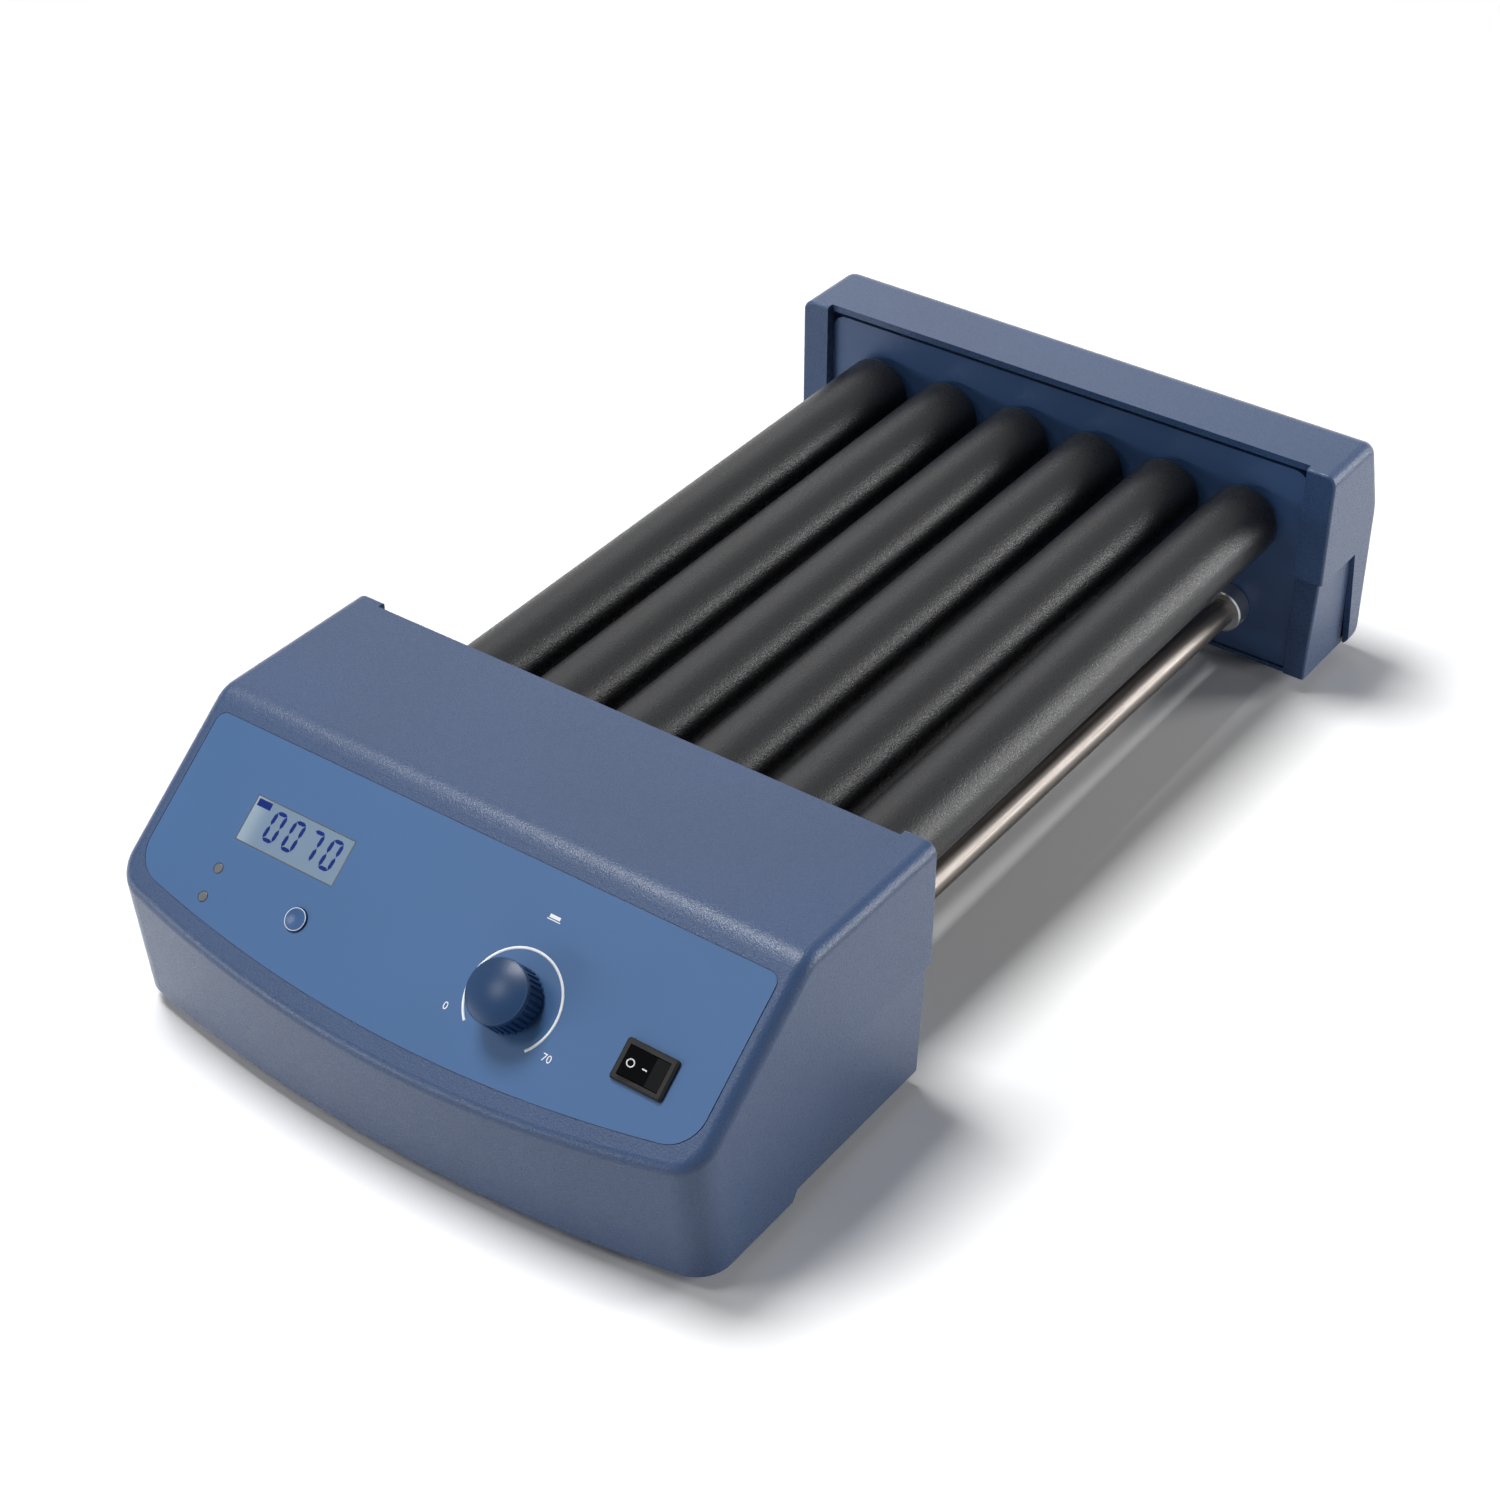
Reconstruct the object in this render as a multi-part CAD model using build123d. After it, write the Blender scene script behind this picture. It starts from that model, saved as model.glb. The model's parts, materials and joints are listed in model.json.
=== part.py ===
from build123d import *
import math
import os

# Tube roller mixer: six driven rollers between a front housing and an end housing
# X runs across the rollers, Y along them with the controls at -Y, Z up from the feet
# All sizes are in millimetres

# Overall sizes
bed_gap = 296.5
front_depth = 150.0
end_depth = 49.5
housing_height = 103.0
foot_height = 7.0

# Moulded walls
wall = 2.8
front_base_inset = 0.6
end_base_inset = 2.0
base_draft_slope = 2.0
base_set_back = 2.7
floor_gap = 0.3
edge_round = 5.0
rear_round = 1.2

# Parting line between covers and bases, level and then down to the floor
parting_height = 50.5
front_parting_run = 53.0
front_parting_foot = 84.0
end_parting_run = 31.5
end_parting_foot = 38.0

# Front housing outline
panel_run = 74.6
panel_slope = 38.5
bend_round = 14.0
nose_height = 44.0
nose_bulge_radius = 622.0
nose_corner = 14.0
nose_draft = 0.1

# End housing outline
end_rear_slope = 18.0
end_rear_bend = 68.0
end_top_round = 8.0
end_bend_round = 30.0
end_low_round = 7.0

# Bearing plates in the faces towards the bed
plate_margin = 26.8
pillar_width = 13.2
lip_back = 3.5
lip_thick = 3.0
plate_back = 4.5
plate_thick = 3.0
plate_low = 2.0
plate_high = 98.0
plate_corner = 7.0
plate_fit = 0.2
flange_width = 6.0

# Rollers, carried off centre so that they rock the tubes as they turn
roller_count = 6
roller_pitch = 37.0
roller_radius = 15.8
roller_bore = 10.8
roller_end_round = 4.4
roller_end_gap = 1.2
roller_axis_height = 65.5
throw = 4.5
throw_angle = 74.0
plug_length = 14.0
plug_recess = 1.0
shaft_radius = 4.0
flat_depth = 0.8
gear_tail = 2.0

# Bushes
bush_radius = 6.5
bush_flange_radius = 8.5
bush_flange_thick = 1.5
bush_length = 6.0
bush_tail = 2.0

# Fits, all radial, and how far a cutter runs past what it cuts
running_fit = 0.04
seat_fit = 0.02
moving_gap = 0.3
run_out = 1.0

# Gear train
roller_gear_teeth = 22
idler_teeth = 15
pinion_teeth = 14
pressure_angle = 20.0
tooth_backlash = 0.15
gear_width = 6.0
gear_gap = 4.0
root_depth = 1.25
idler_pin_radius = 2.5
idler_collar_radius = 4.0
rivet_radius = 2.0
pin_head_thick = 1.2

# Drive motor, under the roller left of the middle
motor_plate_gap = 14.0
motor_plate_thick = 2.0
motor_plate_half = 33.0
motor_plate_rise = 45.0
motor_plate_drop = 21.0
post_radius = 3.0
post_inset = 6.0
motor_radius = 18.0
gearbox_length = 26.0
can_radius = 17.0
can_length = 44.0
motor_edge = 0.8
can_round = 3.0
motor_boss_radius = 5.7
motor_boss_length = 3.0
motor_shaft_radius = 3.0
motor_screw_circle = 13.0
motor_screw_depth = 5.0

# Tie rods and their shaft collars
rod_inset = 42.5
rod_height = 24.0
rod_radius = 6.4
collar_radius = 9.7
collar_length = 9.0
collar_chamfer = 0.6
set_screw_radius = 2.0
set_screw_angle = -25.0
set_screw_sink = 0.8
set_socket_radius = 1.0
set_socket_depth = 1.5
rod_screw_radius = 3.0
rod_screw_depth = 14.0
rod_screw_spare = 2.0
washer_radius = 9.5
washer_thick = 1.6
rod_head_radius = 5.0
rod_head_height = 4.0
rod_socket_radius = 2.3
rod_socket_floor = 1.5

# Overlay in a pocket of the sloping panel, sizes across and down the slope from the bend
film_thick = 0.4
pocket_depth = 0.3
pocket_gap = 0.3
film_margin = 7.0
film_top = 8.8
film_bottom = 86.2
film_bottom_radius = 570.0
film_top_corner = 4.0
film_bottom_corner = 14.0

# Display and its board, measured in from the left side
display_inset = 63.6
display_down = 39.3
display_width = 46.6
display_height = 18.0
display_fit = 0.1
board_depth = 8.0
board_thick = 1.6
board_inset = 31.5
board_width = 61.0
board_upper = 21.0
board_lower = 80.0
board_post_radius = 2.4
board_pin_radius = 1.2
board_pin_spare = 1.0
board_post_inset = 3.2
backlight_margin = 2.6

# Status lights and mode button, measured in from the left side
light_radius = 2.0
light_rise = 0.2
light_edge = 0.5
light_foot = 0.4
light_foot_thick = 1.0
light_inset = 40.2
light_down_first = 60.4
light_down_second = 71.8
button_inset = 80.4
button_down = 64.1
button_radius = 4.4
button_rise = 0.9
button_edge = 0.5
dish_radius = 18.0
dish_depth = 0.4
button_flange = 1.2
button_flange_thick = 0.9
button_travel = 0.5
key_size = 6.0
key_plunger_radius = 1.7
key_plunger_rise = 0.6

# Speed knob on a push encoder, measured in from the right side
knob_inset = 91.6
knob_down = 55.2
knob_radius = 12.1
knob_cap_radius = 11.7
knob_rim = 11.4
knob_top = 12.8
knob_dome = 2.0
knob_wall = 2.4
cap_overhang = 0.15
cap_corner = 0.6
knob_flutes = 32
flute_radius = 0.7
encoder_size = 13.0
encoder_depth = 11.0
encoder_corner = 1.2
encoder_bush_radius = 3.5
encoder_bush_height = 3.6
encoder_shaft_radius = 3.0
encoder_shaft_edge = 0.4
encoder_travel = 1.0
cup_radius = 4.5
cup_depth = 2.4
cup_wall = 0.6
nut_width = 10.0
nut_thick = 2.0
nut_edge = 0.3
nut_room = 1.2

# Power switch, measured in from the right side
switch_inset = 34.9
switch_down = 55.65
bezel_width = 21.2
bezel_height = 15.1
bezel_thick = 1.8
bezel_edge = 0.8
bezel_corner = 1.2
switch_body_width = 19.2
switch_body_height = 13.2
switch_body_depth = 17.0
rocker_half = 8.1
rocker_length = 10.4
rocker_tilt = 7.5
rocker_pivot_drop = 1.5
rocker_depth = 3.2
rocker_room = 1.6
rocker_pin_radius = 1.2
rocker_pin_span = 11.8
rocker_crown = 0.2
rocker_valley = 2.6
blade_pitch = 5.0
blade_width = 4.8
blade_thick = 0.8
blade_length = 7.0

# Control board in the floor of the front housing
control_side = 46.5
control_width = 80.0
control_nose_gap = 22.0
control_rear = 72.0
control_standoff = 6.0
control_post_radius = 3.2
control_inset = 5.0
sink_width = 24.0
sink_half = 8.0
sink_height = 14.0
sink_floor = 3.0
sink_slot_count = 5
capacitor_count = 3
capacitor_pitch = 9.5
capacitor_radius = 4.0
capacitor_height = 12.0
capacitor_round = 0.75
header_length = 13.0
header_width = 6.0
header_height = 8.0
header_wall = 1.0
header_spread = 14.0

# Power inlet in the left side of the front base
inlet_back = 34.0
inlet_height = 24.0
inlet_radius = 4.0
inlet_flange_radius = 6.0
inlet_flange_thick = 1.4
inlet_flange_edge = 0.4
inlet_bore = 2.8
inlet_pin_radius = 1.0
inlet_depth = 10.0
inlet_body = 11.0
inlet_body_length = 14.0

# Rubber feet, each place measured in from the side and back from the bed face,
# with the front pair measured in from the nose
nose_foot_gap = 28.0
foot_radius = 9.0
foot_tip_radius = 8.0
foot_neck_radius = 3.0
foot_bulb_radius = 4.2
foot_bulb_height = 2.0
foot_bulb_edge = 1.0
front_feet = ((32.5, front_depth - nose_foot_gap), (28.5, 30.0))
end_feet = ((28.5, 22.0),)

# Housing screws and their posts, places measured as for the feet
nose_post_gap = 44.0
post_boss_radius = 4.2
post_split = 8.0
screw_radius = 1.5
screw_head_radius = 2.9
screw_head_height = 2.0
screw_slot_width = 0.7
screw_slot_depth = 0.5
screw_sink = 3.0
screw_bite = 10.0
front_posts = ((16.5, front_depth - nose_post_gap), (11.5, 60.0))
end_posts = ((14.5, 27.0),)
plate_screw_heights = (10.0, 38.0, 64.0, 92.0)
plate_screw_bite = 2.2

# Slots in the floor under the motor
vent_count = 8
vent_pitch = 8.0
vent_width = 3.0
vent_length = 34.0
vent_back = 70.0

# Places that follow from the sizes
overall_length = front_depth + bed_gap + end_depth
front_y = -overall_length / 2
bed_front = front_y + front_depth
bed_back = bed_front + bed_gap
back_y = bed_back + end_depth
bottom_z = foot_height
top_z = bottom_z + housing_height
bend_y = front_y + panel_run
control_front = front_depth - control_nose_gap
tilt = math.radians(panel_slope)
roller_places = [(k - (roller_count - 1) / 2) * roller_pitch for k in range(roller_count)]
idler_places = [x + roller_pitch / 2 for x in roller_places[:-1]]
plate_half = roller_places[-1] + plate_margin
half_width = plate_half + pillar_width
spindle_z = bottom_z + roller_axis_height
roller_front = bed_front - plate_back + roller_end_gap
roller_back = bed_back + plate_back - roller_end_gap
inner_front = bed_front - plate_back - plate_thick
inner_back = bed_back + plate_back + plate_thick
gear_module = roller_pitch / (roller_gear_teeth + idler_teeth)
gear_y = inner_front - gear_gap
driven_index = roller_count // 2 - 1
motor_x = roller_places[driven_index]
motor_z = spindle_z - gear_module * (roller_gear_teeth + pinion_teeth) / 2
motor_plate_y = inner_front - motor_plate_gap
shaft_top = knob_top - encoder_travel
cup_floor = encoder_travel + moving_gap + cup_wall - wall - encoder_depth
cup_top = cup_floor + cup_depth
face_lift = film_thick - pocket_depth
bezel_top = face_lift + bezel_thick
pivot_lift = bezel_top - rocker_pivot_drop
control_z = bottom_z + wall + control_standoff
rod_across = half_width - rod_inset
film_half = half_width - film_margin
display_across = display_inset - half_width
board_left = board_inset - half_width
board_right = board_left + board_width
light_across = light_inset - half_width
button_across = button_inset - half_width
knob_across = half_width - knob_inset
switch_across = half_width - switch_inset
control_right = half_width - control_side
control_left = control_right - control_width


def save(name, *pieces):
    # One file for each node, holding its separate solids
    solids = []
    for piece in pieces:
        solids.extend(piece.solids())
    export_step(Compound(solids), f"parts/{name}.step")


def block(x0, x1, y0, y1, z0, z1):
    # Box between two corners
    centre = Pos((x0 + x1) / 2, (y0 + y1) / 2, (z0 + z1) / 2)
    return centre * Box(abs(x1 - x0), abs(y1 - y0), abs(z1 - z0))


def disc(radius, low, high):
    # Upright cylinder between two heights
    return Pos(0, 0, low) * Cylinder(radius, high - low, align=(Align.CENTER, Align.CENTER, Align.MIN))


def bar(x, z, radius, y0, y1):
    # Cylinder along Y between two places
    turned = Plane(origin=(x, min(y0, y1), z), x_dir=(1, 0, 0), z_dir=(0, 1, 0))
    return turned * disc(radius, 0, abs(y1 - y0))


def on_panel(across, down, lift=0.0):
    # Frame on the sloping panel: local X across, local Y up the slope, local Z outwards
    y = bend_y - down * math.cos(tilt) - lift * math.sin(tilt)
    z = top_z - down * math.sin(tilt) + lift * math.cos(tilt)
    return Plane(origin=(across, y, z), x_dir=(1, 0, 0), z_dir=(0, -math.sin(tilt), math.cos(tilt)))


def both_sides(places):
    # Each place measured in from the side, on the left and on the right
    return [(side * (half_width - inset), y) for inset, y in places for side in (-1, 1)]


# Housing forms

def front_form(inset, low):
    # Solid form of the front housing with every face moved in by inset, down to height low
    slope = Vector(0, -nose_draft, 1)
    bulge = nose_bulge_radius - inset
    half = half_width - inset
    tip = front_y + inset + (bottom_z + nose_height - low) * nose_draft
    side = tip + bulge - math.sqrt(bulge ** 2 - half ** 2)
    rear = bed_front + front_depth / 4
    outline = [
        ThreePointArc((half, side), (0, tip), (-half, side)),
        Line((-half, side), (-half, rear)),
        Line((-half, rear), (half, rear)),
        Line((half, rear), (half, side)),
    ]
    plan = make_face(outline)
    plan = fillet(plan.vertices().sort_by(Axis.Y)[:2], nose_corner - inset)
    prism = extrude(Pos(0, 0, low) * plan, amount=(top_z - low) * slope.length, dir=slope)
    roof = top_z - inset
    bend = bend_y + inset * math.tan(tilt / 2)
    reach = front_depth
    ahead = bend - reach * math.cos(tilt)
    down = roof - reach * math.sin(tilt)
    corners = [
        (bed_front - inset, low),
        (bed_front - inset, roof),
        (bend, roof),
        (ahead, down),
        (ahead, min(low, down) - wall),
        (bed_front - inset, min(low, down) - wall),
    ]
    profile = make_face(Polyline(*corners, close=True))
    crest = profile.vertices().sort_by_distance((bend, roof, 0))[0]
    profile = fillet(crest, bend_round - inset)
    slab = extrude(Plane.YZ * profile, amount=half_width, both=True)
    return prism & slab


def end_form(inset, low):
    # Solid form of the end housing with every face moved in by inset, down to height low
    lean = math.radians(end_rear_slope)
    roof = top_z - inset
    knee = bottom_z + end_rear_bend
    crown = back_y - (roof - knee) * math.tan(lean) - inset / math.cos(lean)
    corners = [
        (bed_back + inset, low),
        (bed_back + inset, roof),
        (crown, roof),
        (back_y - inset, knee - inset * math.tan(lean / 2)),
        (back_y - inset, low),
    ]
    profile = make_face(Polyline(*corners, close=True))
    crest = profile.vertices().sort_by_distance((crown, roof, 0))[0]
    profile = fillet(crest, end_top_round - inset)
    waist = profile.vertices().sort_by_distance((back_y - inset, knee, 0))[0]
    profile = fillet(waist, end_bend_round)
    return extrude(Plane.YZ * profile, amount=half_width - inset, both=True)


def round_front(form):
    # Round the long upper edges, then the frame of the face towards the bed
    upper = []
    for edge in form.edges():
        middle = edge.center()
        across = edge.geom_type == GeomType.LINE and abs(middle.X) < 1
        if middle.Z > bottom_z + nose_height and not across and middle.Y < bed_front - 1:
            upper.append(edge)
    form = fillet([e for e in upper if abs(e.tangent_at(0.5).Z) < 0.98], edge_round)
    rear = [e for e in form.edges() if e.center().Y > bed_front - 0.1 and e.center().Z > bottom_z + 1]
    return fillet(rear, rear_round)


def round_end(form):
    # Round the low rear edge, the long outer edges and the frame of the face towards the bed
    low = form.edges().sort_by_distance((0, back_y, bottom_z))[0]
    form = fillet(low, end_low_round)
    sides = []
    for edge in form.edges():
        middle = edge.center()
        if abs(middle.X) > half_width - 0.1 and middle.Y > bed_back + 1 and middle.Z > bottom_z + 1:
            sides.append(edge)
    form = fillet(sides, edge_round)
    near = [e for e in form.edges() if e.center().Y < bed_back + 0.1 and e.center().Z > bottom_z + 1]
    return fillet(near, rear_round)


def base_zone(face, inward, run, foot):
    # Space of a base: below the level parting line, then down along the slanting one
    start = face - inward * wall
    level = bottom_z + parting_height
    corners = [
        (start, bottom_z - wall),
        (start, level),
        (face + inward * run, level),
        (face + inward * foot, bottom_z),
        (face + inward * foot, bottom_z - wall),
    ]
    return extrude(Plane.YZ * make_face(Polyline(*corners, close=True)), amount=2 * half_width, both=True)


def front_zone():
    return base_zone(bed_front, -1, front_parting_run, front_parting_foot)


def end_zone():
    return base_zone(bed_back, 1, end_parting_run, end_parting_foot)


def bay_cuts(face, inward):
    # Recess for the lip, bay for the plate and window behind it, on a face at Y = face
    out = face - inward * wall
    lip = face + inward * lip_back
    seat = face + inward * (plate_back + plate_thick)
    deep = seat + inward * 2 * wall
    recess = block(-plate_half, plate_half, out, lip, bottom_z - run_out, top_z + run_out)
    bay = block(-plate_half, plate_half, out, seat, bottom_z + plate_low - plate_fit, top_z - lip_thick)
    clear = plate_half - flange_width
    low = bottom_z + plate_low + flange_width
    high = bottom_z + plate_high - flange_width
    window = block(-clear, clear, out, deep, low, high)
    return recess + bay + window


def flange_core(face, inward, clear):
    # Stock left standing round the plate when the housing is hollowed
    behind = face + inward * (plate_back + plate_thick + wall)
    half = plate_half + wall
    return block(-half, half, face - inward * clear, behind, bottom_z - foot_height, top_z + wall)


def screw_hole(x, y):
    # Countersunk way for a housing screw from below
    top = bottom_z + post_split + screw_bite
    shank = Pos(x, y, 0) * disc(screw_radius + seat_fit, bottom_z - wall, top + seat_fit)
    sink = Pos(x, y, 0) * disc(screw_head_radius + plate_fit, bottom_z - wall, bottom_z + screw_sink)
    return shank + sink


def housing_screw(x, y):
    # Pan head screw seated in its counterbore
    seat = bottom_z + screw_sink
    head = disc(screw_head_radius, seat - screw_head_height, seat)
    shank = disc(screw_radius, seat, bottom_z + post_split + screw_bite)
    slot = Box(screw_head_radius * 2, screw_slot_width, screw_slot_depth * 2)
    slot = Pos(0, 0, seat - screw_head_height) * slot
    return Pos(x, y, 0) * (head + shank - slot)


def foot_hole(x, y):
    return Pos(x, y, 0) * disc(foot_neck_radius + seat_fit, bottom_z - wall, bottom_z + 2 * wall)


def rubber_foot(x, y):
    # Push-in foot: tapered pad, neck through the floor, bulb above it
    pad = Pos(0, 0, foot_height / 2) * Cone(foot_tip_radius, foot_radius, foot_height)
    inside = foot_height + wall
    neck = disc(foot_neck_radius, foot_height, inside + foot_bulb_edge)
    bulb = disc(foot_bulb_radius, inside + seat_fit, inside + foot_bulb_height)
    bulb = chamfer(bulb.edges().sort_by(Axis.Z)[-1], foot_bulb_edge)
    return Pos(x, y, 0) * (pad + neck + bulb)


def place_list(pairs, face, inward):
    # Places given as distance in from the side and distance behind a housing face
    return [(x, face + inward * back) for x, back in both_sides(pairs)]


front_post_list = place_list(front_posts, bed_front, -1)
end_post_list = place_list(end_posts, bed_back, 1)
front_foot_list = place_list(front_feet, bed_front, -1)
end_foot_list = place_list(end_feet, bed_back, 1)


def plate_screw_places(face, inward):
    # Screws through the flange from inside, into the edge of the plate
    y = face + inward * (plate_back + plate_thick)
    x = plate_half - flange_width / 2
    return [(side * x, y, bottom_z + h) for side in (-1, 1) for h in plate_screw_heights]


def flange_holes(face, inward):
    holes = []
    for x, y, z in plate_screw_places(face, inward):
        holes.append(bar(x, z, screw_radius + seat_fit, y - inward, y + inward * 2 * wall))
    return holes


# Covers and bases

def film_outline(gap):
    # Outline of the overlay grown by gap, across and up the slope
    half = film_half + gap
    bottom = film_bottom + gap
    bottom_centre = bottom - film_bottom_radius
    edge_down = bottom_centre + math.sqrt(film_bottom_radius ** 2 - half ** 2)
    top = film_top - gap
    outline = [
        Line((-half, -top), (half, -top)),
        Line((half, -top), (half, -edge_down)),
        ThreePointArc((half, -edge_down), (0, -bottom), (-half, -edge_down)),
        Line((-half, -edge_down), (-half, -top)),
    ]
    sheet = make_face(outline)
    order = sheet.vertices().sort_by(Axis.Y)
    sheet = fillet(order[:2], film_bottom_corner + gap)
    return fillet(sheet.vertices().sort_by(Axis.Y)[-2:], film_top_corner + gap)


def panel_holes():
    # Cut-outs in the sloping panel for everything mounted there
    reach = 2 * wall
    holes = []
    window = Box(display_width, display_height, reach)
    holes.append(on_panel(display_across, display_down) * window)
    for down in (light_down_first, light_down_second):
        holes.append(on_panel(light_across, down) * disc(light_radius + display_fit, -reach, reach))
    press = disc(button_radius + moving_gap, -reach, reach)
    holes.append(on_panel(button_across, button_down) * press)
    holes.append(on_panel(knob_across, knob_down) * disc(encoder_bush_radius + display_fit, -reach, reach))
    well = Box(switch_body_width + 2 * display_fit, switch_body_height + 2 * display_fit, reach)
    holes.append(on_panel(switch_across, switch_down) * well)
    return holes


def board_posts():
    # Posts on the back of the panel with a pin through the display board
    posts = []
    for x in (board_left + board_post_inset, board_right - board_post_inset):
        for down in (board_upper + board_post_inset, board_lower - board_post_inset):
            post = disc(board_post_radius, -board_depth, -wall / 2)
            pin = disc(board_pin_radius, -board_depth - board_thick - board_pin_spare, -board_depth)
            posts.append(on_panel(x, down) * (post + pin))
    return posts


def front_cover():
    shell = round_front(front_form(0, bottom_z))
    hollow = front_form(wall, bottom_z - wall) - flange_core(bed_front, -1, wall)
    shell = shell - hollow - front_zone()
    fill = front_form(wall / 2, bottom_z)
    for x, y in front_post_list:
        shell += Pos(x, y, 0) * disc(post_boss_radius, bottom_z + post_split, top_z) & fill
    for post in board_posts():
        shell += post
    pocket = on_panel(0, 0, -pocket_depth) * extrude(film_outline(pocket_gap), amount=wall)
    for cut in [bay_cuts(bed_front, -1), pocket] + panel_holes() + flange_holes(bed_front, -1):
        shell -= cut
    for x, y in front_post_list:
        shell -= screw_hole(x, y)
    return shell


def end_cover():
    shell = round_end(end_form(0, bottom_z))
    hollow = end_form(wall, bottom_z - wall) - flange_core(bed_back, 1, wall)
    shell = shell - hollow - end_zone()
    fill = end_form(wall / 2, bottom_z)
    for x, y in end_post_list:
        shell += Pos(x, y, 0) * disc(post_boss_radius, bottom_z + post_split, top_z) & fill
    for cut in [bay_cuts(bed_back, 1)] + flange_holes(bed_back, 1):
        shell -= cut
    for x, y in end_post_list:
        shell -= screw_hole(x, y)
    return shell


def drafted(inset):
    # Space between side planes that lean in towards the floor, inset at the parting line
    lean = math.tan(math.radians(base_draft_slope))
    upper = half_width - inset + (top_z - bottom_z - parting_height) * lean
    lower = half_width - inset - (parting_height + foot_height) * lean
    corners = [(-lower, 0), (lower, 0), (upper, top_z), (-upper, top_z)]
    return extrude(Plane.XZ * make_face(Polyline(*corners, close=True)), amount=overall_length, both=True)


def base_shell(form, inset, face, inward, zone):
    # Tray below the parting line: drafted walls, flange round the plate and a floor
    far = face + inward * front_depth * 2
    keep = block(-half_width, half_width, face + inward * base_set_back, far, 0, top_z)
    walls = form(inset, bottom_z) & keep & drafted(inset)
    corners = []
    for edge in walls.edges():
        on_face = abs(edge.center().Y - face - inward * base_set_back) < 0.1
        if on_face and abs(edge.tangent_at(0.5).Z) > 0.9:
            corners.append(edge)
    walls = fillet(corners, rear_round)
    inner = face + inward * (base_set_back + wall)
    room = block(-half_width, half_width, inner, far, 0, top_z)
    hollow = form(inset + wall, bottom_z + wall) & room & drafted(inset + wall)
    walls = (walls - (hollow - flange_core(face, inward, 0))) & zone
    floor_low = block(-half_width, half_width, face + inward * lip_back, far, bottom_z, bottom_z + wall)
    return walls + (form(wall + floor_gap, bottom_z) & floor_low & drafted(inset))


def front_base():
    tray = base_shell(front_form, front_base_inset, bed_front, -1, front_zone())
    for x, y in front_post_list:
        tray += Pos(x, y, 0) * disc(post_boss_radius, bottom_z, bottom_z + post_split)
    for x, y in control_posts():
        tray += Pos(x, y, 0) * disc(control_post_radius, bottom_z + wall / 2, control_z)
        tray += Pos(x, y, 0) * disc(board_pin_radius, control_z, control_z + board_thick + board_pin_spare)
    tray -= bay_cuts(bed_front, -1)
    for hole in flange_holes(bed_front, -1):
        tray -= hole
    for x, y in front_post_list:
        tray -= screw_hole(x, y)
    for x, y in front_foot_list:
        tray -= foot_hole(x, y)
    for k in range(vent_count):
        x = motor_x + (k - (vent_count - 1) / 2) * vent_pitch
        tray -= Pos(x, bed_front - vent_back, bottom_z) * Box(vent_width, vent_length, 3 * wall)
    tray -= inlet_frame * disc(inlet_radius + seat_fit, -3 * wall, wall)
    return tray


def end_base():
    tray = base_shell(end_form, end_base_inset, bed_back, 1, end_zone())
    for x, y in end_post_list:
        tray += Pos(x, y, 0) * disc(post_boss_radius, bottom_z, bottom_z + post_split)
    tray -= bay_cuts(bed_back, 1)
    for hole in flange_holes(bed_back, 1):
        tray -= hole
    for x, y in end_post_list:
        tray -= screw_hole(x, y)
    for x, y in end_foot_list:
        tray -= foot_hole(x, y)
    return tray


# Bearing plates

def bearing_plate(face, inward):
    # Plate with bush holes, rod holes and blind screw holes at its edge
    outer = face + inward * plate_back
    inner = outer + inward * plate_thick
    half = plate_half - plate_fit
    plate = block(-half, half, outer, inner, bottom_z + plate_low, bottom_z + plate_high)
    upper = plate.edges().filter_by(Axis.Y).sort_by(Axis.Z)[-2:]
    plate = fillet(upper, plate_corner)
    for x in roller_places:
        plate -= bar(x, spindle_z, bush_radius + seat_fit, outer - inward, inner + inward)
    for x in (-rod_across, rod_across):
        plate -= bar(x, bottom_z + rod_height, rod_radius + seat_fit, outer - inward, inner + inward)
    for x, y, z in plate_screw_places(face, inward):
        plate -= bar(x, z, screw_radius + seat_fit, y + inward, y - inward * plate_screw_bite)
    return plate


def front_bearing_plate():
    plate = bearing_plate(bed_front, -1)
    outer = bed_front - plate_back
    for x in idler_places:
        plate -= bar(x, spindle_z, rivet_radius + seat_fit, outer + run_out, inner_front - run_out)
    for x, z in motor_posts():
        plate -= bar(x, z, rivet_radius + seat_fit, outer + run_out, inner_front - run_out)
    return plate


def plate_screw(x, y, z, inward):
    # Screw from inside the housing through the flange
    seat = y + inward * wall
    head = bar(x, z, screw_head_radius, seat, seat + inward * screw_head_height)
    shank = bar(x, z, screw_radius, seat, y - inward * (plate_screw_bite - moving_gap))
    return head + shank


def bush(x, face, inward):
    # Flanged bush, flush with the outer face of its plate
    outer = face + inward * plate_back
    seat = outer + inward * plate_thick
    sleeve = bar(x, spindle_z, bush_radius, outer, outer + inward * bush_length)
    flange = bar(x, spindle_z, bush_flange_radius, seat, seat + inward * bush_flange_thick)
    bore_end = outer + inward * (bush_length + run_out)
    bore = bar(x, spindle_z, shaft_radius + running_fit, outer - inward * run_out, bore_end)
    return sleeve + flange - bore


# Rollers

def roller_frame(x):
    # Frame of one roller: origin at its front end, local Z along the roller to its far end
    angle = math.radians(throw_angle)
    offset = Vector(throw * math.cos(angle), 0, throw * math.sin(angle))
    start = Vector(x, roller_front, spindle_z) - offset
    finish = Vector(x, roller_back, spindle_z) + offset
    length = (finish - start).length
    return Plane(origin=start, x_dir=(1, 0, 0), z_dir=finish - start), length


def roller_sleeve(x):
    frame, length = roller_frame(x)
    tube = disc(roller_radius, 0, length)
    tube = fillet(tube.edges().filter_by(GeomType.CIRCLE), roller_end_round)
    return frame * (tube - disc(roller_bore, -run_out, length + run_out))


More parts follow.
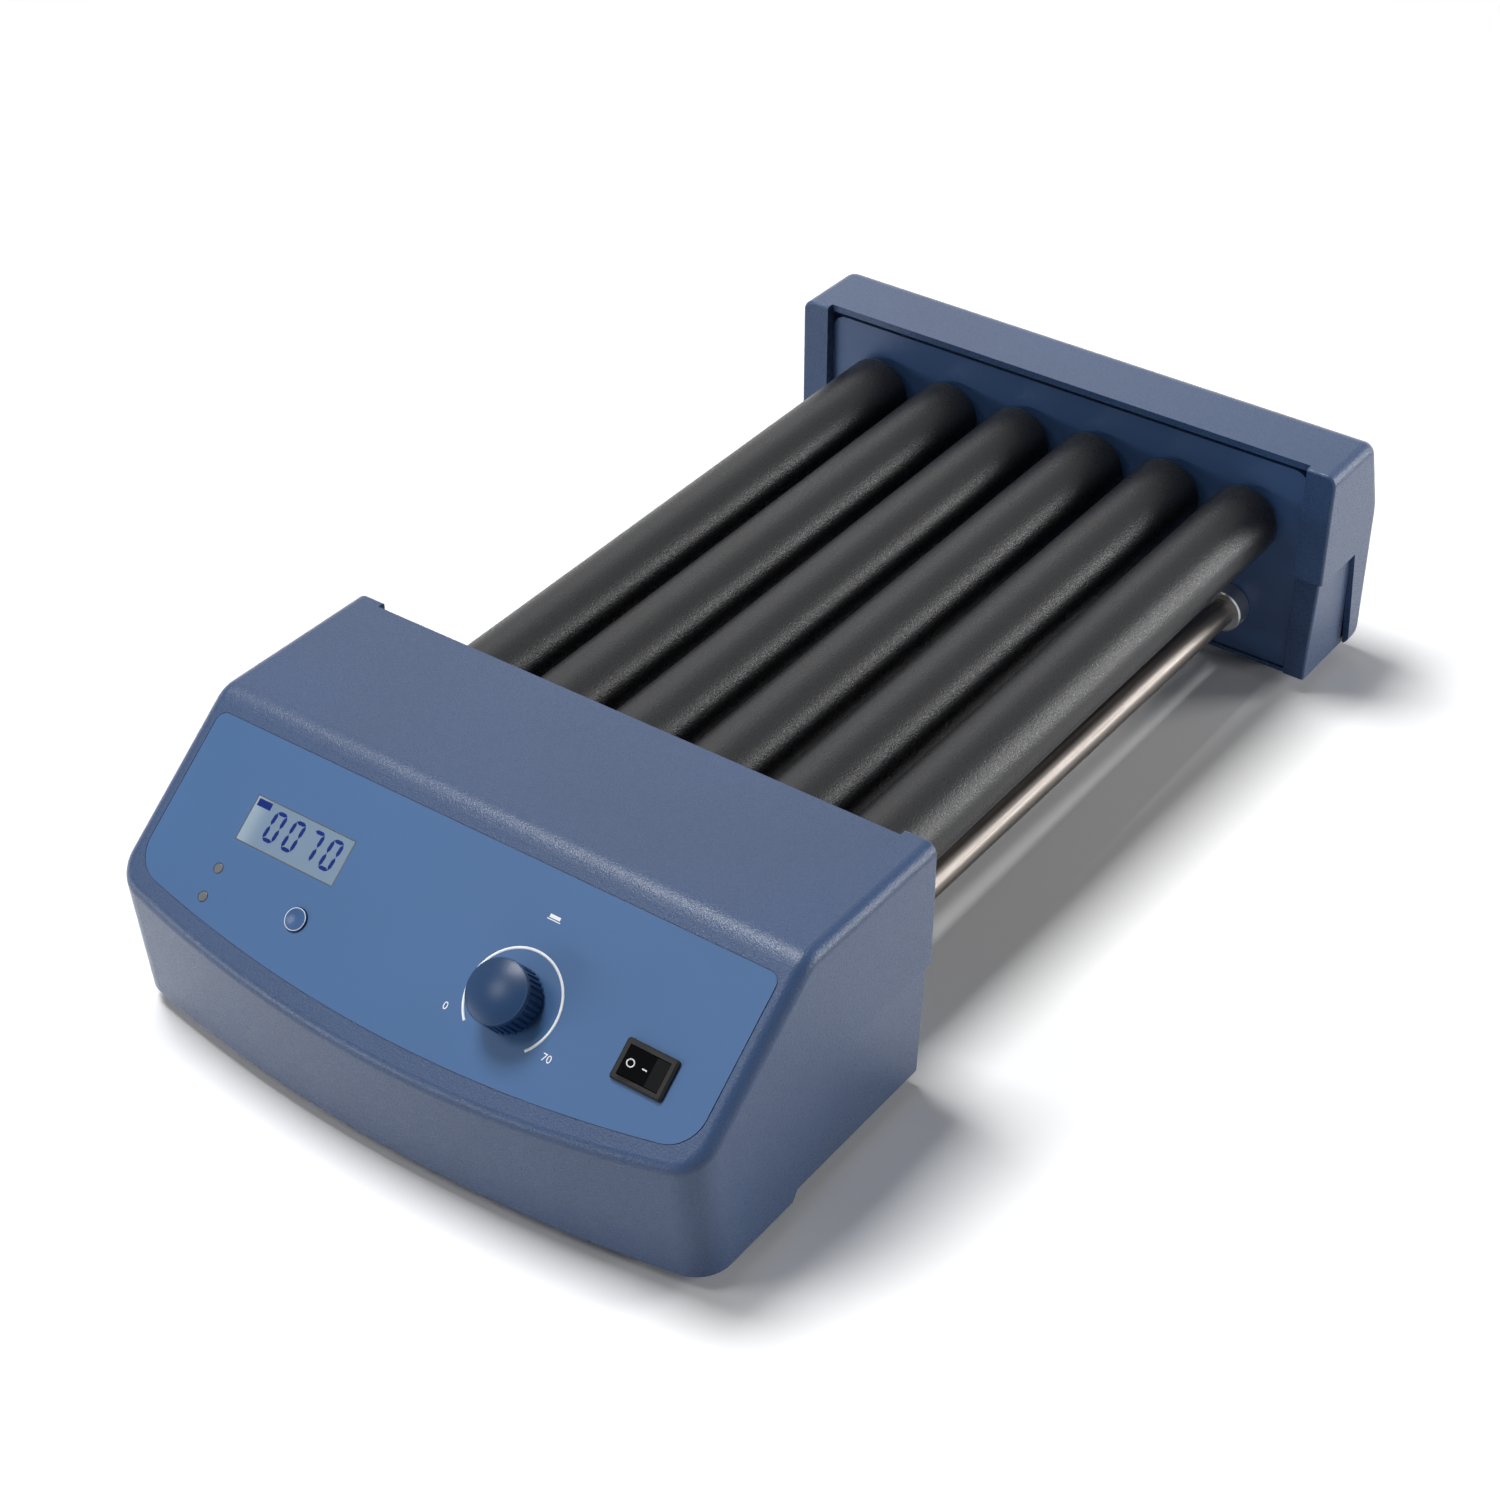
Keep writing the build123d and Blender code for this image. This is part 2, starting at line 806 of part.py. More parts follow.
def roller_ends(x):
    # Plug in each end of the roller with its offset spindle
    frame, length = roller_frame(x)
    radius = roller_bore - seat_fit
    front_plug = frame * disc(radius, plug_recess, plug_length)
    back_plug = frame * disc(radius, length - plug_length, length - plug_recess)
    front_end = gear_y - gear_width - gear_tail
    front_shaft = bar(x, spindle_z, shaft_radius, roller_front + plug_length / 2, front_end)
    back_end = inner_back + bush_length - plate_thick + bush_tail
    back_shaft = bar(x, spindle_z, shaft_radius, roller_back - plug_length / 2, back_end)
    flat_z = spindle_z + shaft_radius - flat_depth
    flat_end = front_end - run_out
    flat = block(x - shaft_radius, x + shaft_radius, flat_end, gear_y, flat_z, flat_z + shaft_radius)
    return front_plug + front_shaft - flat, back_plug + back_shaft


# Gears

def mesh_phase(phase, teeth, partner_teeth, direction):
    # Tooth angle of the partner gear that lies towards direction, in mesh with the first gear
    share = (direction - phase) * teeth / 360 % 1
    return direction + 180 - (0.5 - share) * 360 / partner_teeth


def polar(radius, angle):
    return (radius * math.cos(angle), radius * math.sin(angle))


def gear_face(teeth, phase):
    # Involute outline, one tooth centred on the phase angle
    angle = math.radians(pressure_angle)
    pitch_radius = gear_module * teeth / 2
    base_radius = pitch_radius * math.cos(angle)
    tip_radius = pitch_radius + gear_module
    root_radius = pitch_radius - root_depth * gear_module
    half_tooth = math.pi / (2 * teeth) - tooth_backlash / (2 * pitch_radius)
    root_angle = half_tooth + math.tan(angle) - angle

    def flank(radius):
        roll = math.acos(base_radius / radius)
        return root_angle - (math.tan(roll) - roll)

    middle_radius = (base_radius + tip_radius) / 2
    tip_angle = flank(tip_radius)
    middle_angle = flank(middle_radius)
    step = 2 * math.pi / teeth
    edges = []
    for k in range(teeth):
        centre = math.radians(phase) + k * step
        foot = polar(root_radius, centre - root_angle)
        start = polar(base_radius, centre - root_angle)
        rise = polar(middle_radius, centre - middle_angle)
        tip = polar(tip_radius, centre - tip_angle)
        edges.append(Line(foot, start))
        edges.append(ThreePointArc(start, rise, tip))
        far_tip = polar(tip_radius, centre + tip_angle)
        fall = polar(middle_radius, centre + middle_angle)
        end = polar(base_radius, centre + root_angle)
        far_foot = polar(root_radius, centre + root_angle)
        edges.append(Line(tip, far_tip))
        edges.append(ThreePointArc(far_tip, fall, end))
        edges.append(Line(end, far_foot))
        edges.append(Line(far_foot, polar(root_radius, centre + step - root_angle)))
    return make_face(edges)


def gear(x, z, teeth, phase, bore, flat=0.0):
    # Spur gear facing the front, with a round or flatted bore
    frame = Plane(origin=(x, gear_y, z), x_dir=(1, 0, 0), z_dir=(0, -1, 0))
    body = extrude(gear_face(teeth, phase), amount=gear_width)
    hole = disc(bore, -run_out, gear_width + run_out)
    if flat > 0:
        hole -= Pos(0, 2 * bore - flat, gear_width / 2) * Box(2 * bore, 2 * bore, 2 * gear_width)
    return frame * (body - hole)


def gear_phases():
    # Tooth angles along the train from the first roller to the last
    rollers = [0.0]
    idlers = []
    for k in range(roller_count - 1):
        idlers.append(mesh_phase(rollers[-1], roller_gear_teeth, idler_teeth, 0.0))
        rollers.append(mesh_phase(idlers[-1], idler_teeth, roller_gear_teeth, 0.0))
    return rollers, idlers


def idler_pin(x):
    # Riveted pin with a collar behind the gear and a head in front of it
    rivet = bar(x, spindle_z, rivet_radius, inner_front + plate_thick, inner_front)
    collar = bar(x, spindle_z, idler_collar_radius, inner_front, gear_y + moving_gap)
    journal = bar(x, spindle_z, idler_pin_radius, inner_front, gear_y - gear_width - moving_gap)
    head_y = gear_y - gear_width - moving_gap
    head = bar(x, spindle_z, idler_collar_radius, head_y, head_y - pin_head_thick)
    return rivet + collar + journal + head


# Motor

def motor_posts():
    # Corners of the motor plate, where its posts stand
    left = motor_x - motor_plate_half + post_inset
    right = motor_x + motor_plate_half - post_inset
    low = motor_z - motor_plate_drop + post_inset
    high = motor_z + motor_plate_rise - post_inset
    return [(left, low), (right, low), (left, high), (right, high)]


def motor_screw_places():
    spread = motor_screw_circle / math.sqrt(2)
    return [(motor_x + i * spread, motor_z + j * spread) for i in (-1, 1) for j in (-1, 1)]


def motor_plate():
    back = motor_plate_y - motor_plate_thick
    left = motor_x - motor_plate_half
    right = motor_x + motor_plate_half
    plate = block(left, right, motor_plate_y, back, motor_z - motor_plate_drop, motor_z + motor_plate_rise)
    plate = fillet(plate.edges().filter_by(Axis.Y), post_radius)
    plate -= bar(motor_x, motor_z, motor_shaft_radius * 2, motor_plate_y + run_out, back - run_out)
    for x, z in motor_screw_places() + motor_posts():
        plate -= bar(x, z, screw_radius + seat_fit, motor_plate_y + run_out, back - run_out)
    return plate


def motor_post(x, z):
    # Shouldered post riveted to the bearing plate, with a screw nose through the motor plate
    body = bar(x, z, post_radius, inner_front, motor_plate_y)
    rivet = bar(x, z, rivet_radius, inner_front + plate_thick, inner_front)
    nose_end = motor_plate_y - motor_plate_thick
    cap_end = nose_end - screw_head_height
    nose = bar(x, z, screw_radius, motor_plate_y, (nose_end + cap_end) / 2)
    cap = bar(x, z, screw_head_radius, nose_end, cap_end)
    return body + rivet + nose + cap


def drive_motor():
    # Gearbox and can, with a blind bore for the output shaft
    front = motor_plate_y - motor_plate_thick
    box_end = front - gearbox_length
    case = bar(motor_x, motor_z, motor_radius, front, box_end)
    case = chamfer(case.edges().filter_by(GeomType.CIRCLE), motor_edge)
    can_end = box_end - can_length
    can = bar(motor_x, motor_z, can_radius, box_end, can_end)
    can = fillet(can.edges().filter_by(GeomType.CIRCLE).sort_by(Axis.Y)[0], can_round)
    tail = bar(motor_x, motor_z, motor_boss_radius, can_end, can_end - motor_boss_length)
    way_end = front - gearbox_length / 2
    shaft_way = bar(motor_x, motor_z, motor_shaft_radius + running_fit, front + run_out, way_end)
    motor = case + can + tail - shaft_way
    for x, z in motor_screw_places():
        motor -= bar(x, z, screw_radius + seat_fit, front + run_out, front - motor_screw_depth)
    return motor


def motor_shaft():
    front = motor_plate_y - motor_plate_thick
    start = front - gearbox_length / 2 + moving_gap
    shaft = bar(motor_x, motor_z, motor_shaft_radius, start, gear_y + gear_tail / 2)
    flat_z = motor_z + motor_shaft_radius - flat_depth / 2
    reach = motor_shaft_radius
    near = gear_y - gear_width
    return shaft - block(motor_x - reach, motor_x + reach, near, gear_y + gear_tail, flat_z, flat_z + reach)


def motor_screw(x, z):
    # Screw head in front of the motor plate, shank in the gearbox
    head = bar(x, z, screw_head_radius, motor_plate_y, motor_plate_y + screw_head_height)
    shank_end = motor_plate_y - motor_plate_thick - motor_screw_depth + run_out
    shank = bar(x, z, screw_radius, motor_plate_y, shank_end)
    return head + shank


# Tie rods

def tie_rod(x):
    # Round bar clamped between the plates by a screw in each end
    z = bottom_z + rod_height
    rod = bar(x, z, rod_radius, inner_front, inner_back)
    thread = rod_screw_radius + seat_fit
    rod -= bar(x, z, thread, inner_front - run_out, inner_front + rod_screw_depth)
    rod -= bar(x, z, thread, inner_back + run_out, inner_back - rod_screw_depth)
    return rod


def rod_screw(x, inner, inward):
    # Cap screw and washer drawing the rod against the plate
    z = bottom_z + rod_height
    seat = inner + inward * washer_thick
    washer = bar(x, z, washer_radius, inner, seat)
    head = bar(x, z, rod_head_radius, seat, seat + inward * rod_head_height)
    shank = bar(x, z, rod_screw_radius, seat, inner - inward * (rod_screw_depth - rod_screw_spare))
    socket_end = seat + inward * (rod_head_height + run_out)
    socket = bar(x, z, rod_socket_radius, seat + inward * rod_socket_floor, socket_end)
    return washer + head + shank - socket


def collar_frame(x, y):
    # Frame with local Z pointing out of the collar along its set screw
    angle = math.radians(set_screw_angle)
    side = 1 if x > 0 else -1
    out = Vector(side * math.cos(angle), 0, math.sin(angle))
    return Plane(origin=(x, y, bottom_z + rod_height), x_dir=(0, 1, 0), z_dir=out)


def rod_collar(x, face, inward):
    # Shaft collar against the outer face of the plate
    z = bottom_z + rod_height
    seat = face + inward * plate_back
    near = seat - inward * collar_length
    ring = bar(x, z, collar_radius, seat, near)
    ring = chamfer(ring.edges().filter_by(GeomType.CIRCLE), collar_chamfer)
    ring -= bar(x, z, rod_radius + seat_fit, seat + inward, near - inward)
    middle = (seat + near) / 2
    return ring - collar_frame(x, middle) * disc(set_screw_radius + seat_fit, 0, collar_radius + run_out)


def set_screw(x, face, inward):
    # Socket set screw biting on the rod
    middle = face + inward * (plate_back - collar_length / 2)
    top = collar_radius - set_screw_sink
    screw = disc(set_screw_radius, rod_radius + seat_fit, top)
    hexagon = Pos(0, 0, top - set_socket_depth) * RegularPolygon(set_socket_radius, 6)
    socket = extrude(hexagon, amount=set_socket_depth + run_out)
    return collar_frame(x, middle) * (screw - socket)


# Panel parts

def overlay_film():
    film = on_panel(0, 0, -pocket_depth) * extrude(film_outline(0), amount=film_thick)
    for hole in panel_holes():
        film -= hole
    nut_hole = nut_width / math.sqrt(3) + nut_room
    return film - on_panel(knob_across, knob_down) * disc(nut_hole, -run_out, wall)


def display_module():
    # Glass in the window of the panel, backlight frame behind it
    glass = Box(display_width - 2 * display_fit, display_height - 2 * display_fit, board_depth + face_lift)
    glass = Pos(0, 0, (face_lift - board_depth) / 2) * glass
    margin = 2 * backlight_margin
    tray_height = board_depth - wall - display_fit
    tray = Box(display_width + margin, display_height + margin, tray_height)
    tray = Pos(0, 0, tray_height / 2 - board_depth) * tray
    return on_panel(display_across, display_down) * (glass + tray)


def display_board():
    middle_x = (board_left + board_right) / 2
    middle_down = (board_upper + board_lower) / 2
    size_down = board_lower - board_upper
    board = Box(board_right - board_left, size_down, board_thick)
    board = on_panel(middle_x, middle_down, -board_depth - board_thick / 2) * board
    for x in (board_left + board_post_inset, board_right - board_post_inset):
        for down in (board_upper + board_post_inset, board_lower - board_post_inset):
            pin_fit = board_pin_radius + seat_fit
            hole = disc(pin_fit, -board_depth - 2 * board_thick, -board_depth + run_out)
            board -= on_panel(x, down) * hole
    return board


def tact_switch():
    # Small square key on the board under the mode button
    top = -wall - moving_gap - button_flange_thick - button_travel - moving_gap
    body_height = board_depth + top - key_plunger_rise
    body = Pos(0, 0, body_height / 2 - board_depth) * Box(key_size, key_size, body_height)
    plunger = disc(key_plunger_radius, -board_depth, top)
    return on_panel(button_across, button_down) * (body + plunger)


def status_light(down):
    stem = disc(light_radius, -board_depth, face_lift + light_rise)
    stem = fillet(stem.edges().sort_by(Axis.Z)[-1], light_edge)
    foot = disc(light_radius + light_foot, -board_depth, light_foot_thick - board_depth)
    return on_panel(light_across, down) * (stem + foot)


def mode_button():
    # Dished push button with a retaining flange behind the panel
    top = face_lift + button_rise
    flange_top = -wall - moving_gap
    cap = disc(button_radius, flange_top, top)
    cap = fillet(cap.edges().sort_by(Axis.Z)[-1], button_edge)
    flange = disc(button_radius + button_flange, flange_top - button_flange_thick, flange_top)
    dish = Pos(0, 0, top + dish_radius - dish_depth) * Sphere(dish_radius)
    return on_panel(button_across, button_down) * (cap + flange - dish)


def encoder_body():
    # Housing behind the panel, threaded bush through it and a well for the push cup
    case = Pos(0, 0, -wall - encoder_depth / 2) * Box(encoder_size, encoder_size, encoder_depth)
    case = chamfer(case.edges().filter_by(Axis.Z), encoder_corner)
    bush_tube = disc(encoder_bush_radius, -wall - run_out, encoder_bush_height)
    way = disc(encoder_shaft_radius + running_fit, cup_top, encoder_bush_height + run_out)
    well = disc(cup_radius + moving_gap, cup_floor - encoder_travel - moving_gap, cup_top + moving_gap)
    return on_panel(knob_across, knob_down) * (case + bush_tube - way - well)


def encoder_slider():
    # Cup under the shaft that presses the switch, moves in and out without turning
    cup = disc(cup_radius, cup_floor, cup_top)
    well = disc(encoder_shaft_radius + running_fit, cup_floor + cup_wall, cup_top + run_out)
    return on_panel(knob_across, knob_down) * (cup - well)


def encoder_shaft():
    shaft = disc(encoder_shaft_radius, cup_floor + cup_wall + moving_gap, shaft_top)
    shaft = chamfer(shaft.edges().sort_by(Axis.Z)[-1], encoder_shaft_edge)
    return on_panel(knob_across, knob_down) * shaft


def encoder_nut():
    nut = extrude(RegularPolygon(nut_width / 2, 6, major_radius=False), amount=nut_thick)
    nut = chamfer(nut.edges().group_by(Axis.Z)[-1], nut_edge)
    thread = disc(encoder_bush_radius + seat_fit, -run_out, nut_thick + run_out)
    return on_panel(knob_across, knob_down) * (nut - thread)


def speed_knob():
    # Fluted skirt under a domed cap, hollow inside round the hub
    base = face_lift + encoder_travel + moving_gap
    skirt_height = knob_rim - base
    skirt = Pos(0, 0, base + skirt_height / 2) * Cone(knob_radius, knob_cap_radius, skirt_height)
    lean = math.degrees(math.atan((knob_radius - knob_cap_radius) / skirt_height))
    for k in range(knob_flutes):
        flute = Rot(0, -lean, 0) * disc(flute_radius, -run_out, skirt_height - flute_radius)
        skirt -= Rot(0, 0, 360 * k / knob_flutes) * Pos(knob_radius, 0, base) * flute
    edge = knob_cap_radius + cap_overhang
    corner = cap_corner
    shoulder = knob_top - corner
    dome_radius = ((edge - corner) ** 2 + knob_dome ** 2) / (2 * knob_dome)
    dome_angle = math.asin((edge - corner) / dome_radius) / 2
    drop = dome_radius * (1 - math.cos(dome_angle))
    dome_middle = (dome_radius * math.sin(dome_angle), knob_top + knob_dome - drop)
    outline = [
        Line((0, knob_rim), (edge, knob_rim)),
        Line((edge, knob_rim), (edge, shoulder)),
        ThreePointArc(
            (edge, shoulder),
            (edge - corner * (1 - math.sqrt(0.5)), shoulder + corner * math.sqrt(0.5)),
            (edge - corner, knob_top),
        ),
        ThreePointArc((edge - corner, knob_top), dome_middle, (0, knob_top + knob_dome)),
        Line((0, knob_top + knob_dome), (0, knob_rim)),
    ]
    cap = revolve(Plane.XZ * make_face(outline), axis=Axis.Z)
    hub_base = encoder_bush_height + encoder_travel + moving_gap
    cavity = disc(knob_radius - knob_wall, base - run_out, knob_rim - knob_wall)
    cavity -= disc(encoder_shaft_radius + knob_wall, hub_base, knob_rim)
    socket = disc(encoder_shaft_radius + seat_fit, base - run_out, shaft_top + seat_fit)
    return on_panel(knob_across, knob_down) * (skirt + cap - cavity - socket)


# Power switch parts

def switch_body():
    # Bezel over the film, body through the panel with snap wedges, rocker well and blades
    bezel = Pos(0, 0, face_lift + bezel_thick / 2) * Box(bezel_width, bezel_height, bezel_thick)
    bezel = fillet(bezel.edges().filter_by(Axis.Z), bezel_corner)
    bezel = chamfer(bezel.edges().group_by(Axis.Z)[-1], bezel_edge)
    depth = switch_body_depth
    body = Pos(0, 0, face_lift - depth / 2) * Box(switch_body_width, switch_body_height, depth)
    opening = 2 * (rocker_half + moving_gap)
    well_depth = rocker_pivot_drop + rocker_depth + rocker_room
    well = Box(opening, rocker_length + 2 * moving_gap, 2 * well_depth)
    well = Pos(0, 0, bezel_top) * well
    pin_way = Cylinder(rocker_pin_radius + running_fit, rocker_pin_span + 2 * moving_gap)
    shell = bezel + body - well - Pos(0, 0, pivot_lift) * Rot(90, 0, 0) * pin_way
    blades = []
    for x in (-blade_pitch, 0, blade_pitch):
        blade = Box(blade_thick, blade_width, blade_length)
        blades.append(Pos(x, 0, face_lift - depth - blade_length / 2) * blade)
    place = on_panel(switch_across, switch_down)
    return [place * shell] + [place * blade for blade in blades]


def power_rocker():
    # Shallow V of two faces, tilted to its on position about its own pins
    slope = math.tan(math.radians(rocker_tilt))
    crown = rocker_pivot_drop + rocker_crown - rocker_valley * slope
    left = (-rocker_half, crown + (rocker_half + rocker_valley) * slope)
    right = (rocker_half, crown + (rocker_half - rocker_valley) * slope)
    outline = [left, (rocker_valley, crown), right]
    outline += [(rocker_half, -rocker_depth), (-rocker_half, -rocker_depth)]
    profile = make_face(Polyline(*outline, close=True)) & Circle(rocker_half)
    lever = extrude(Plane.XZ * profile, amount=rocker_length / 2, both=True)
    pins = Rot(90, 0, 0) * Cylinder(rocker_pin_radius, rocker_pin_span)
    lever = Rot(0, rocker_tilt, 0) * (lever + pins)
    return on_panel(switch_across, switch_down, pivot_lift) * lever


# Electronics in the front base

def control_posts():
    places = []
    for x in (control_left + control_inset, control_right - control_inset):
        for back in (control_rear + control_inset, control_front - control_inset):
            places.append((x, bed_front - back))
    return places


def control_board():
    top = control_z + board_thick
    near = bed_front - control_front
    far = bed_front - control_rear
    board = block(control_left, control_right, near, far, control_z, top)
    for x, y in control_posts():
        board -= Pos(x, y, 0) * disc(board_pin_radius + seat_fit, control_z - run_out, top + run_out)
    return board


def board_components():
    # Finned heat sink, capacitors and two cable headers on the board
    top = control_z + board_thick
    middle = bed_front - (control_front + control_rear) / 2
    sink_left = control_right - control_inset * 2 - sink_width
    low_y = middle - sink_half
    high_y = middle + sink_half
    sink = block(sink_left, sink_left + sink_width, low_y, high_y, top, top + sink_height)
    pitch = sink_width / sink_slot_count
    for k in range(sink_slot_count):
        left = sink_left + (k + 0.25) * pitch
        slot = block(left, left + pitch / 2, low_y, high_y, top + sink_floor, top + sink_height)
        sink -= slot
    parts = [sink]
    for k in range(capacitor_count):
        x = control_left + control_inset * 3 + k * capacitor_pitch
        can = Pos(x, middle + header_spread, 0) * disc(capacitor_radius, top, top + capacitor_height)
        parts.append(fillet(can.edges().sort_by(Axis.Z)[-1], capacitor_round))
    for k in range(2):
        left = control_left + control_inset * 2 + k * (header_length + control_inset)
        low = middle - header_spread - header_width / 2
        shell = Box(header_length, header_width, header_height)
        room = Box(header_length - 2 * header_wall, header_width - 2 * header_wall, header_height)
        header = shell - Pos(0, 0, 2 * header_wall) * room
        parts.append(Pos(left + header_length / 2, low + header_width / 2, top + header_height / 2) * header)
    return parts


inlet_lean = math.radians(base_draft_slope)
inlet_inset = front_base_inset + (parting_height - inlet_height) * math.tan(inlet_lean)
inlet_frame = Plane(
    origin=(inlet_inset - half_width, bed_front - inlet_back, bottom_z + inlet_height),
    x_dir=(0, 1, 0),
    z_dir=(-math.cos(inlet_lean), 0, -math.sin(inlet_lean)),
)


def power_inlet():
    # Round low-voltage socket: flange outside, block inside the wall, centre pin
    flange = disc(inlet_flange_radius, 0, inlet_flange_thick)
    flange = chamfer(flange.edges().sort_by(Axis.Z)[-1], inlet_flange_edge)
    neck = disc(inlet_radius, -wall - run_out, 0)
    case = Pos(0, 0, -wall - inlet_body_length / 2) * Box(inlet_body, inlet_body, inlet_body_length)
    bore = disc(inlet_bore, inlet_flange_thick - inlet_depth, inlet_flange_thick + run_out)
    pin = disc(inlet_pin_radius, -inlet_depth, -inlet_flange_edge)
    return inlet_frame * (flange + neck + case - bore + pin)


def build():
    os.makedirs("parts", exist_ok=True)
    save("front_cover", front_cover())
    save("front_base", front_base())
    save("front_bearing_plate", front_bearing_plate())
    save("end_cover", end_cover())
    save("end_base", end_base())
    save("end_bearing_plate", bearing_plate(bed_back, 1))
    save("tie_rod_left", tie_rod(-rod_across))
    save("tie_rod_right", tie_rod(rod_across))
    faces = ((bed_front, -1), (bed_back, 1))
    ends = [(x, face, inward) for x in (-rod_across, rod_across) for face, inward in faces]
    save("rod_collars", *[rod_collar(*end) for end in ends])
    save("collar_set_screws", *[set_screw(*end) for end in ends])
    inners = [(x, face + inward * (plate_back + plate_thick), inward) for x, face, inward in ends]
    save("rod_end_screws", *[rod_screw(*inner) for inner in inners])
    save("front_bushes", *[bush(x, bed_front, -1) for x in roller_places])
    save("end_bushes", *[bush(x, bed_back, 1) for x in roller_places])
    roller_phases, idler_phases = gear_phases()
    for k, x in enumerate(roller_places):
        save(f"roller_{k + 1}_sleeve", roller_sleeve(x))
        save(f"roller_{k + 1}_ends", *roller_ends(x))
        wheel = gear(x, spindle_z, roller_gear_teeth, roller_phases[k], shaft_radius + seat_fit, flat_depth)
        save(f"roller_{k + 1}_gear", wheel)
    for k, x in enumerate(idler_places):
        wheel = gear(x, spindle_z, idler_teeth, idler_phases[k], idler_pin_radius + running_fit)
        save(f"idler_gear_{k + 1}", wheel)
    save("idler_pins", *[idler_pin(x) for x in idler_places])
    pinion_phase = mesh_phase(roller_phases[driven_index], roller_gear_teeth, pinion_teeth, -90.0)
    bore = motor_shaft_radius + seat_fit
    pinion = gear(motor_x, motor_z, pinion_teeth, pinion_phase, bore, flat_depth / 2)
    save("motor_pinion", pinion)
    save("motor_shaft", motor_shaft())
    save("drive_motor", drive_motor())
    save("motor_plate", motor_plate())
    save("motor_posts", *[motor_post(x, z) for x, z in motor_posts()])
    plate_screws = [plate_screw(*p, -1) for p in plate_screw_places(bed_front, -1)]
    plate_screws += [plate_screw(*p, 1) for p in plate_screw_places(bed_back, 1)]
    save("mechanism_screws", *plate_screws, *[motor_screw(x, z) for x, z in motor_screw_places()])
    save("overlay_film", overlay_film())
    save("display_module", display_module())
    save("display_board", display_board(), tact_switch())
    save("status_lights", status_light(light_down_first), status_light(light_down_second))
    save("mode_button", mode_button())
    save("encoder_body", encoder_body())
    save("encoder_slider", encoder_slider())
    save("encoder_shaft", encoder_shaft())
    save("encoder_nut", encoder_nut())
    save("speed_knob", speed_knob())
    save("switch_body", *switch_body())
    save("power_rocker", power_rocker())
    save("control_board", control_board())
    save("board_components", *board_components())
    save("power_inlet", power_inlet())
    feet = front_foot_list + end_foot_list
    save("rubber_feet", *[rubber_foot(x, y) for x, y in feet])
    save("housing_screws", *[housing_screw(x, y) for x, y in front_post_list + end_post_list])


build()
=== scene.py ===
import json
import math
import bmesh
import bpy
from mathutils import Matrix, Vector


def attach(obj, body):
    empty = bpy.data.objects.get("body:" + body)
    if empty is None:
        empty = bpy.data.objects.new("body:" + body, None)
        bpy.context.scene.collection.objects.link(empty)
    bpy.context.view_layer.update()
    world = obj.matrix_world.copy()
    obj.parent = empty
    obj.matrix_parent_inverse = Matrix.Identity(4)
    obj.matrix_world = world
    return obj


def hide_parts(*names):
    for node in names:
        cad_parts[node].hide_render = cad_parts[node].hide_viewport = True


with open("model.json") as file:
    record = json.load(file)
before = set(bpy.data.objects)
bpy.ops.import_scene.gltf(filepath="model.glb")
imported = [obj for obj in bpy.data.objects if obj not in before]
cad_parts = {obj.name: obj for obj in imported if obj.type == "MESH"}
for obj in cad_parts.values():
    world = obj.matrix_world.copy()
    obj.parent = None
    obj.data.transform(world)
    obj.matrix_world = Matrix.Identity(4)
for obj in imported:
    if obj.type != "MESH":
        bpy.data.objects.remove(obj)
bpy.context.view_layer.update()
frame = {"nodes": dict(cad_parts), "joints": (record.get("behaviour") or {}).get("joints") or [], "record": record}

mm = 0.001

# Where the photograph was taken from
photoView = {
    "target": (0.0, -0.0248, 0.0484),
    "azimuth": 35.95,
    "elevation": 36.38,
    "roll": 0.11,
    "distance": 1.1363,
    "lens": 69.76,
    "sensor": 36.0,
    "clip": (0.05, 30.0),
}


def hexColour(code):
    # sRGB hex to the linear colour that the shaders take
    parts = [int(code[i:i + 2], 16) / 255 for i in (0, 2, 4)]
    linear = [p / 12.92 if p <= 0.04045 else ((p + 0.055) / 1.055) ** 2.4 for p in parts]
    return (*linear, 1.0)


def addNode(tree, kind, values=None, links=None, **settings):
    # one node with its settings, socket values and incoming links
    node = tree.nodes.new(kind)
    for name, setting in settings.items():
        setattr(node, name, setting)
    for socket, value in (values or {}).items():
        node.inputs[socket].default_value = value
    for socket, source in (links or {}).items():
        tree.links.new(source, node.inputs[socket])
    return node


def startMaterial(name, fixed):
    # a Principled shader whose fixed numbers sit on its own sockets
    material = bpy.data.materials.new(name)
    material.use_nodes = True
    tree = material.node_tree
    tree.nodes.clear()
    skin = addNode(tree, "ShaderNodeBsdfPrincipled", values=fixed)
    addNode(tree, "ShaderNodeOutputMaterial", links={"Surface": skin.outputs["BSDF"]})
    place = addNode(tree, "ShaderNodeTexCoord").outputs["Object"]
    return material, tree, skin, place


def joinSkin(tree, skin, patterns):
    # patterns that take over from the shader's plain values
    for socket, source in patterns.items():
        tree.links.new(source, skin.inputs[socket])


noiseSpan = {"From Min": 0.3, "From Max": 0.7}  # nearly all of a noise lies between these


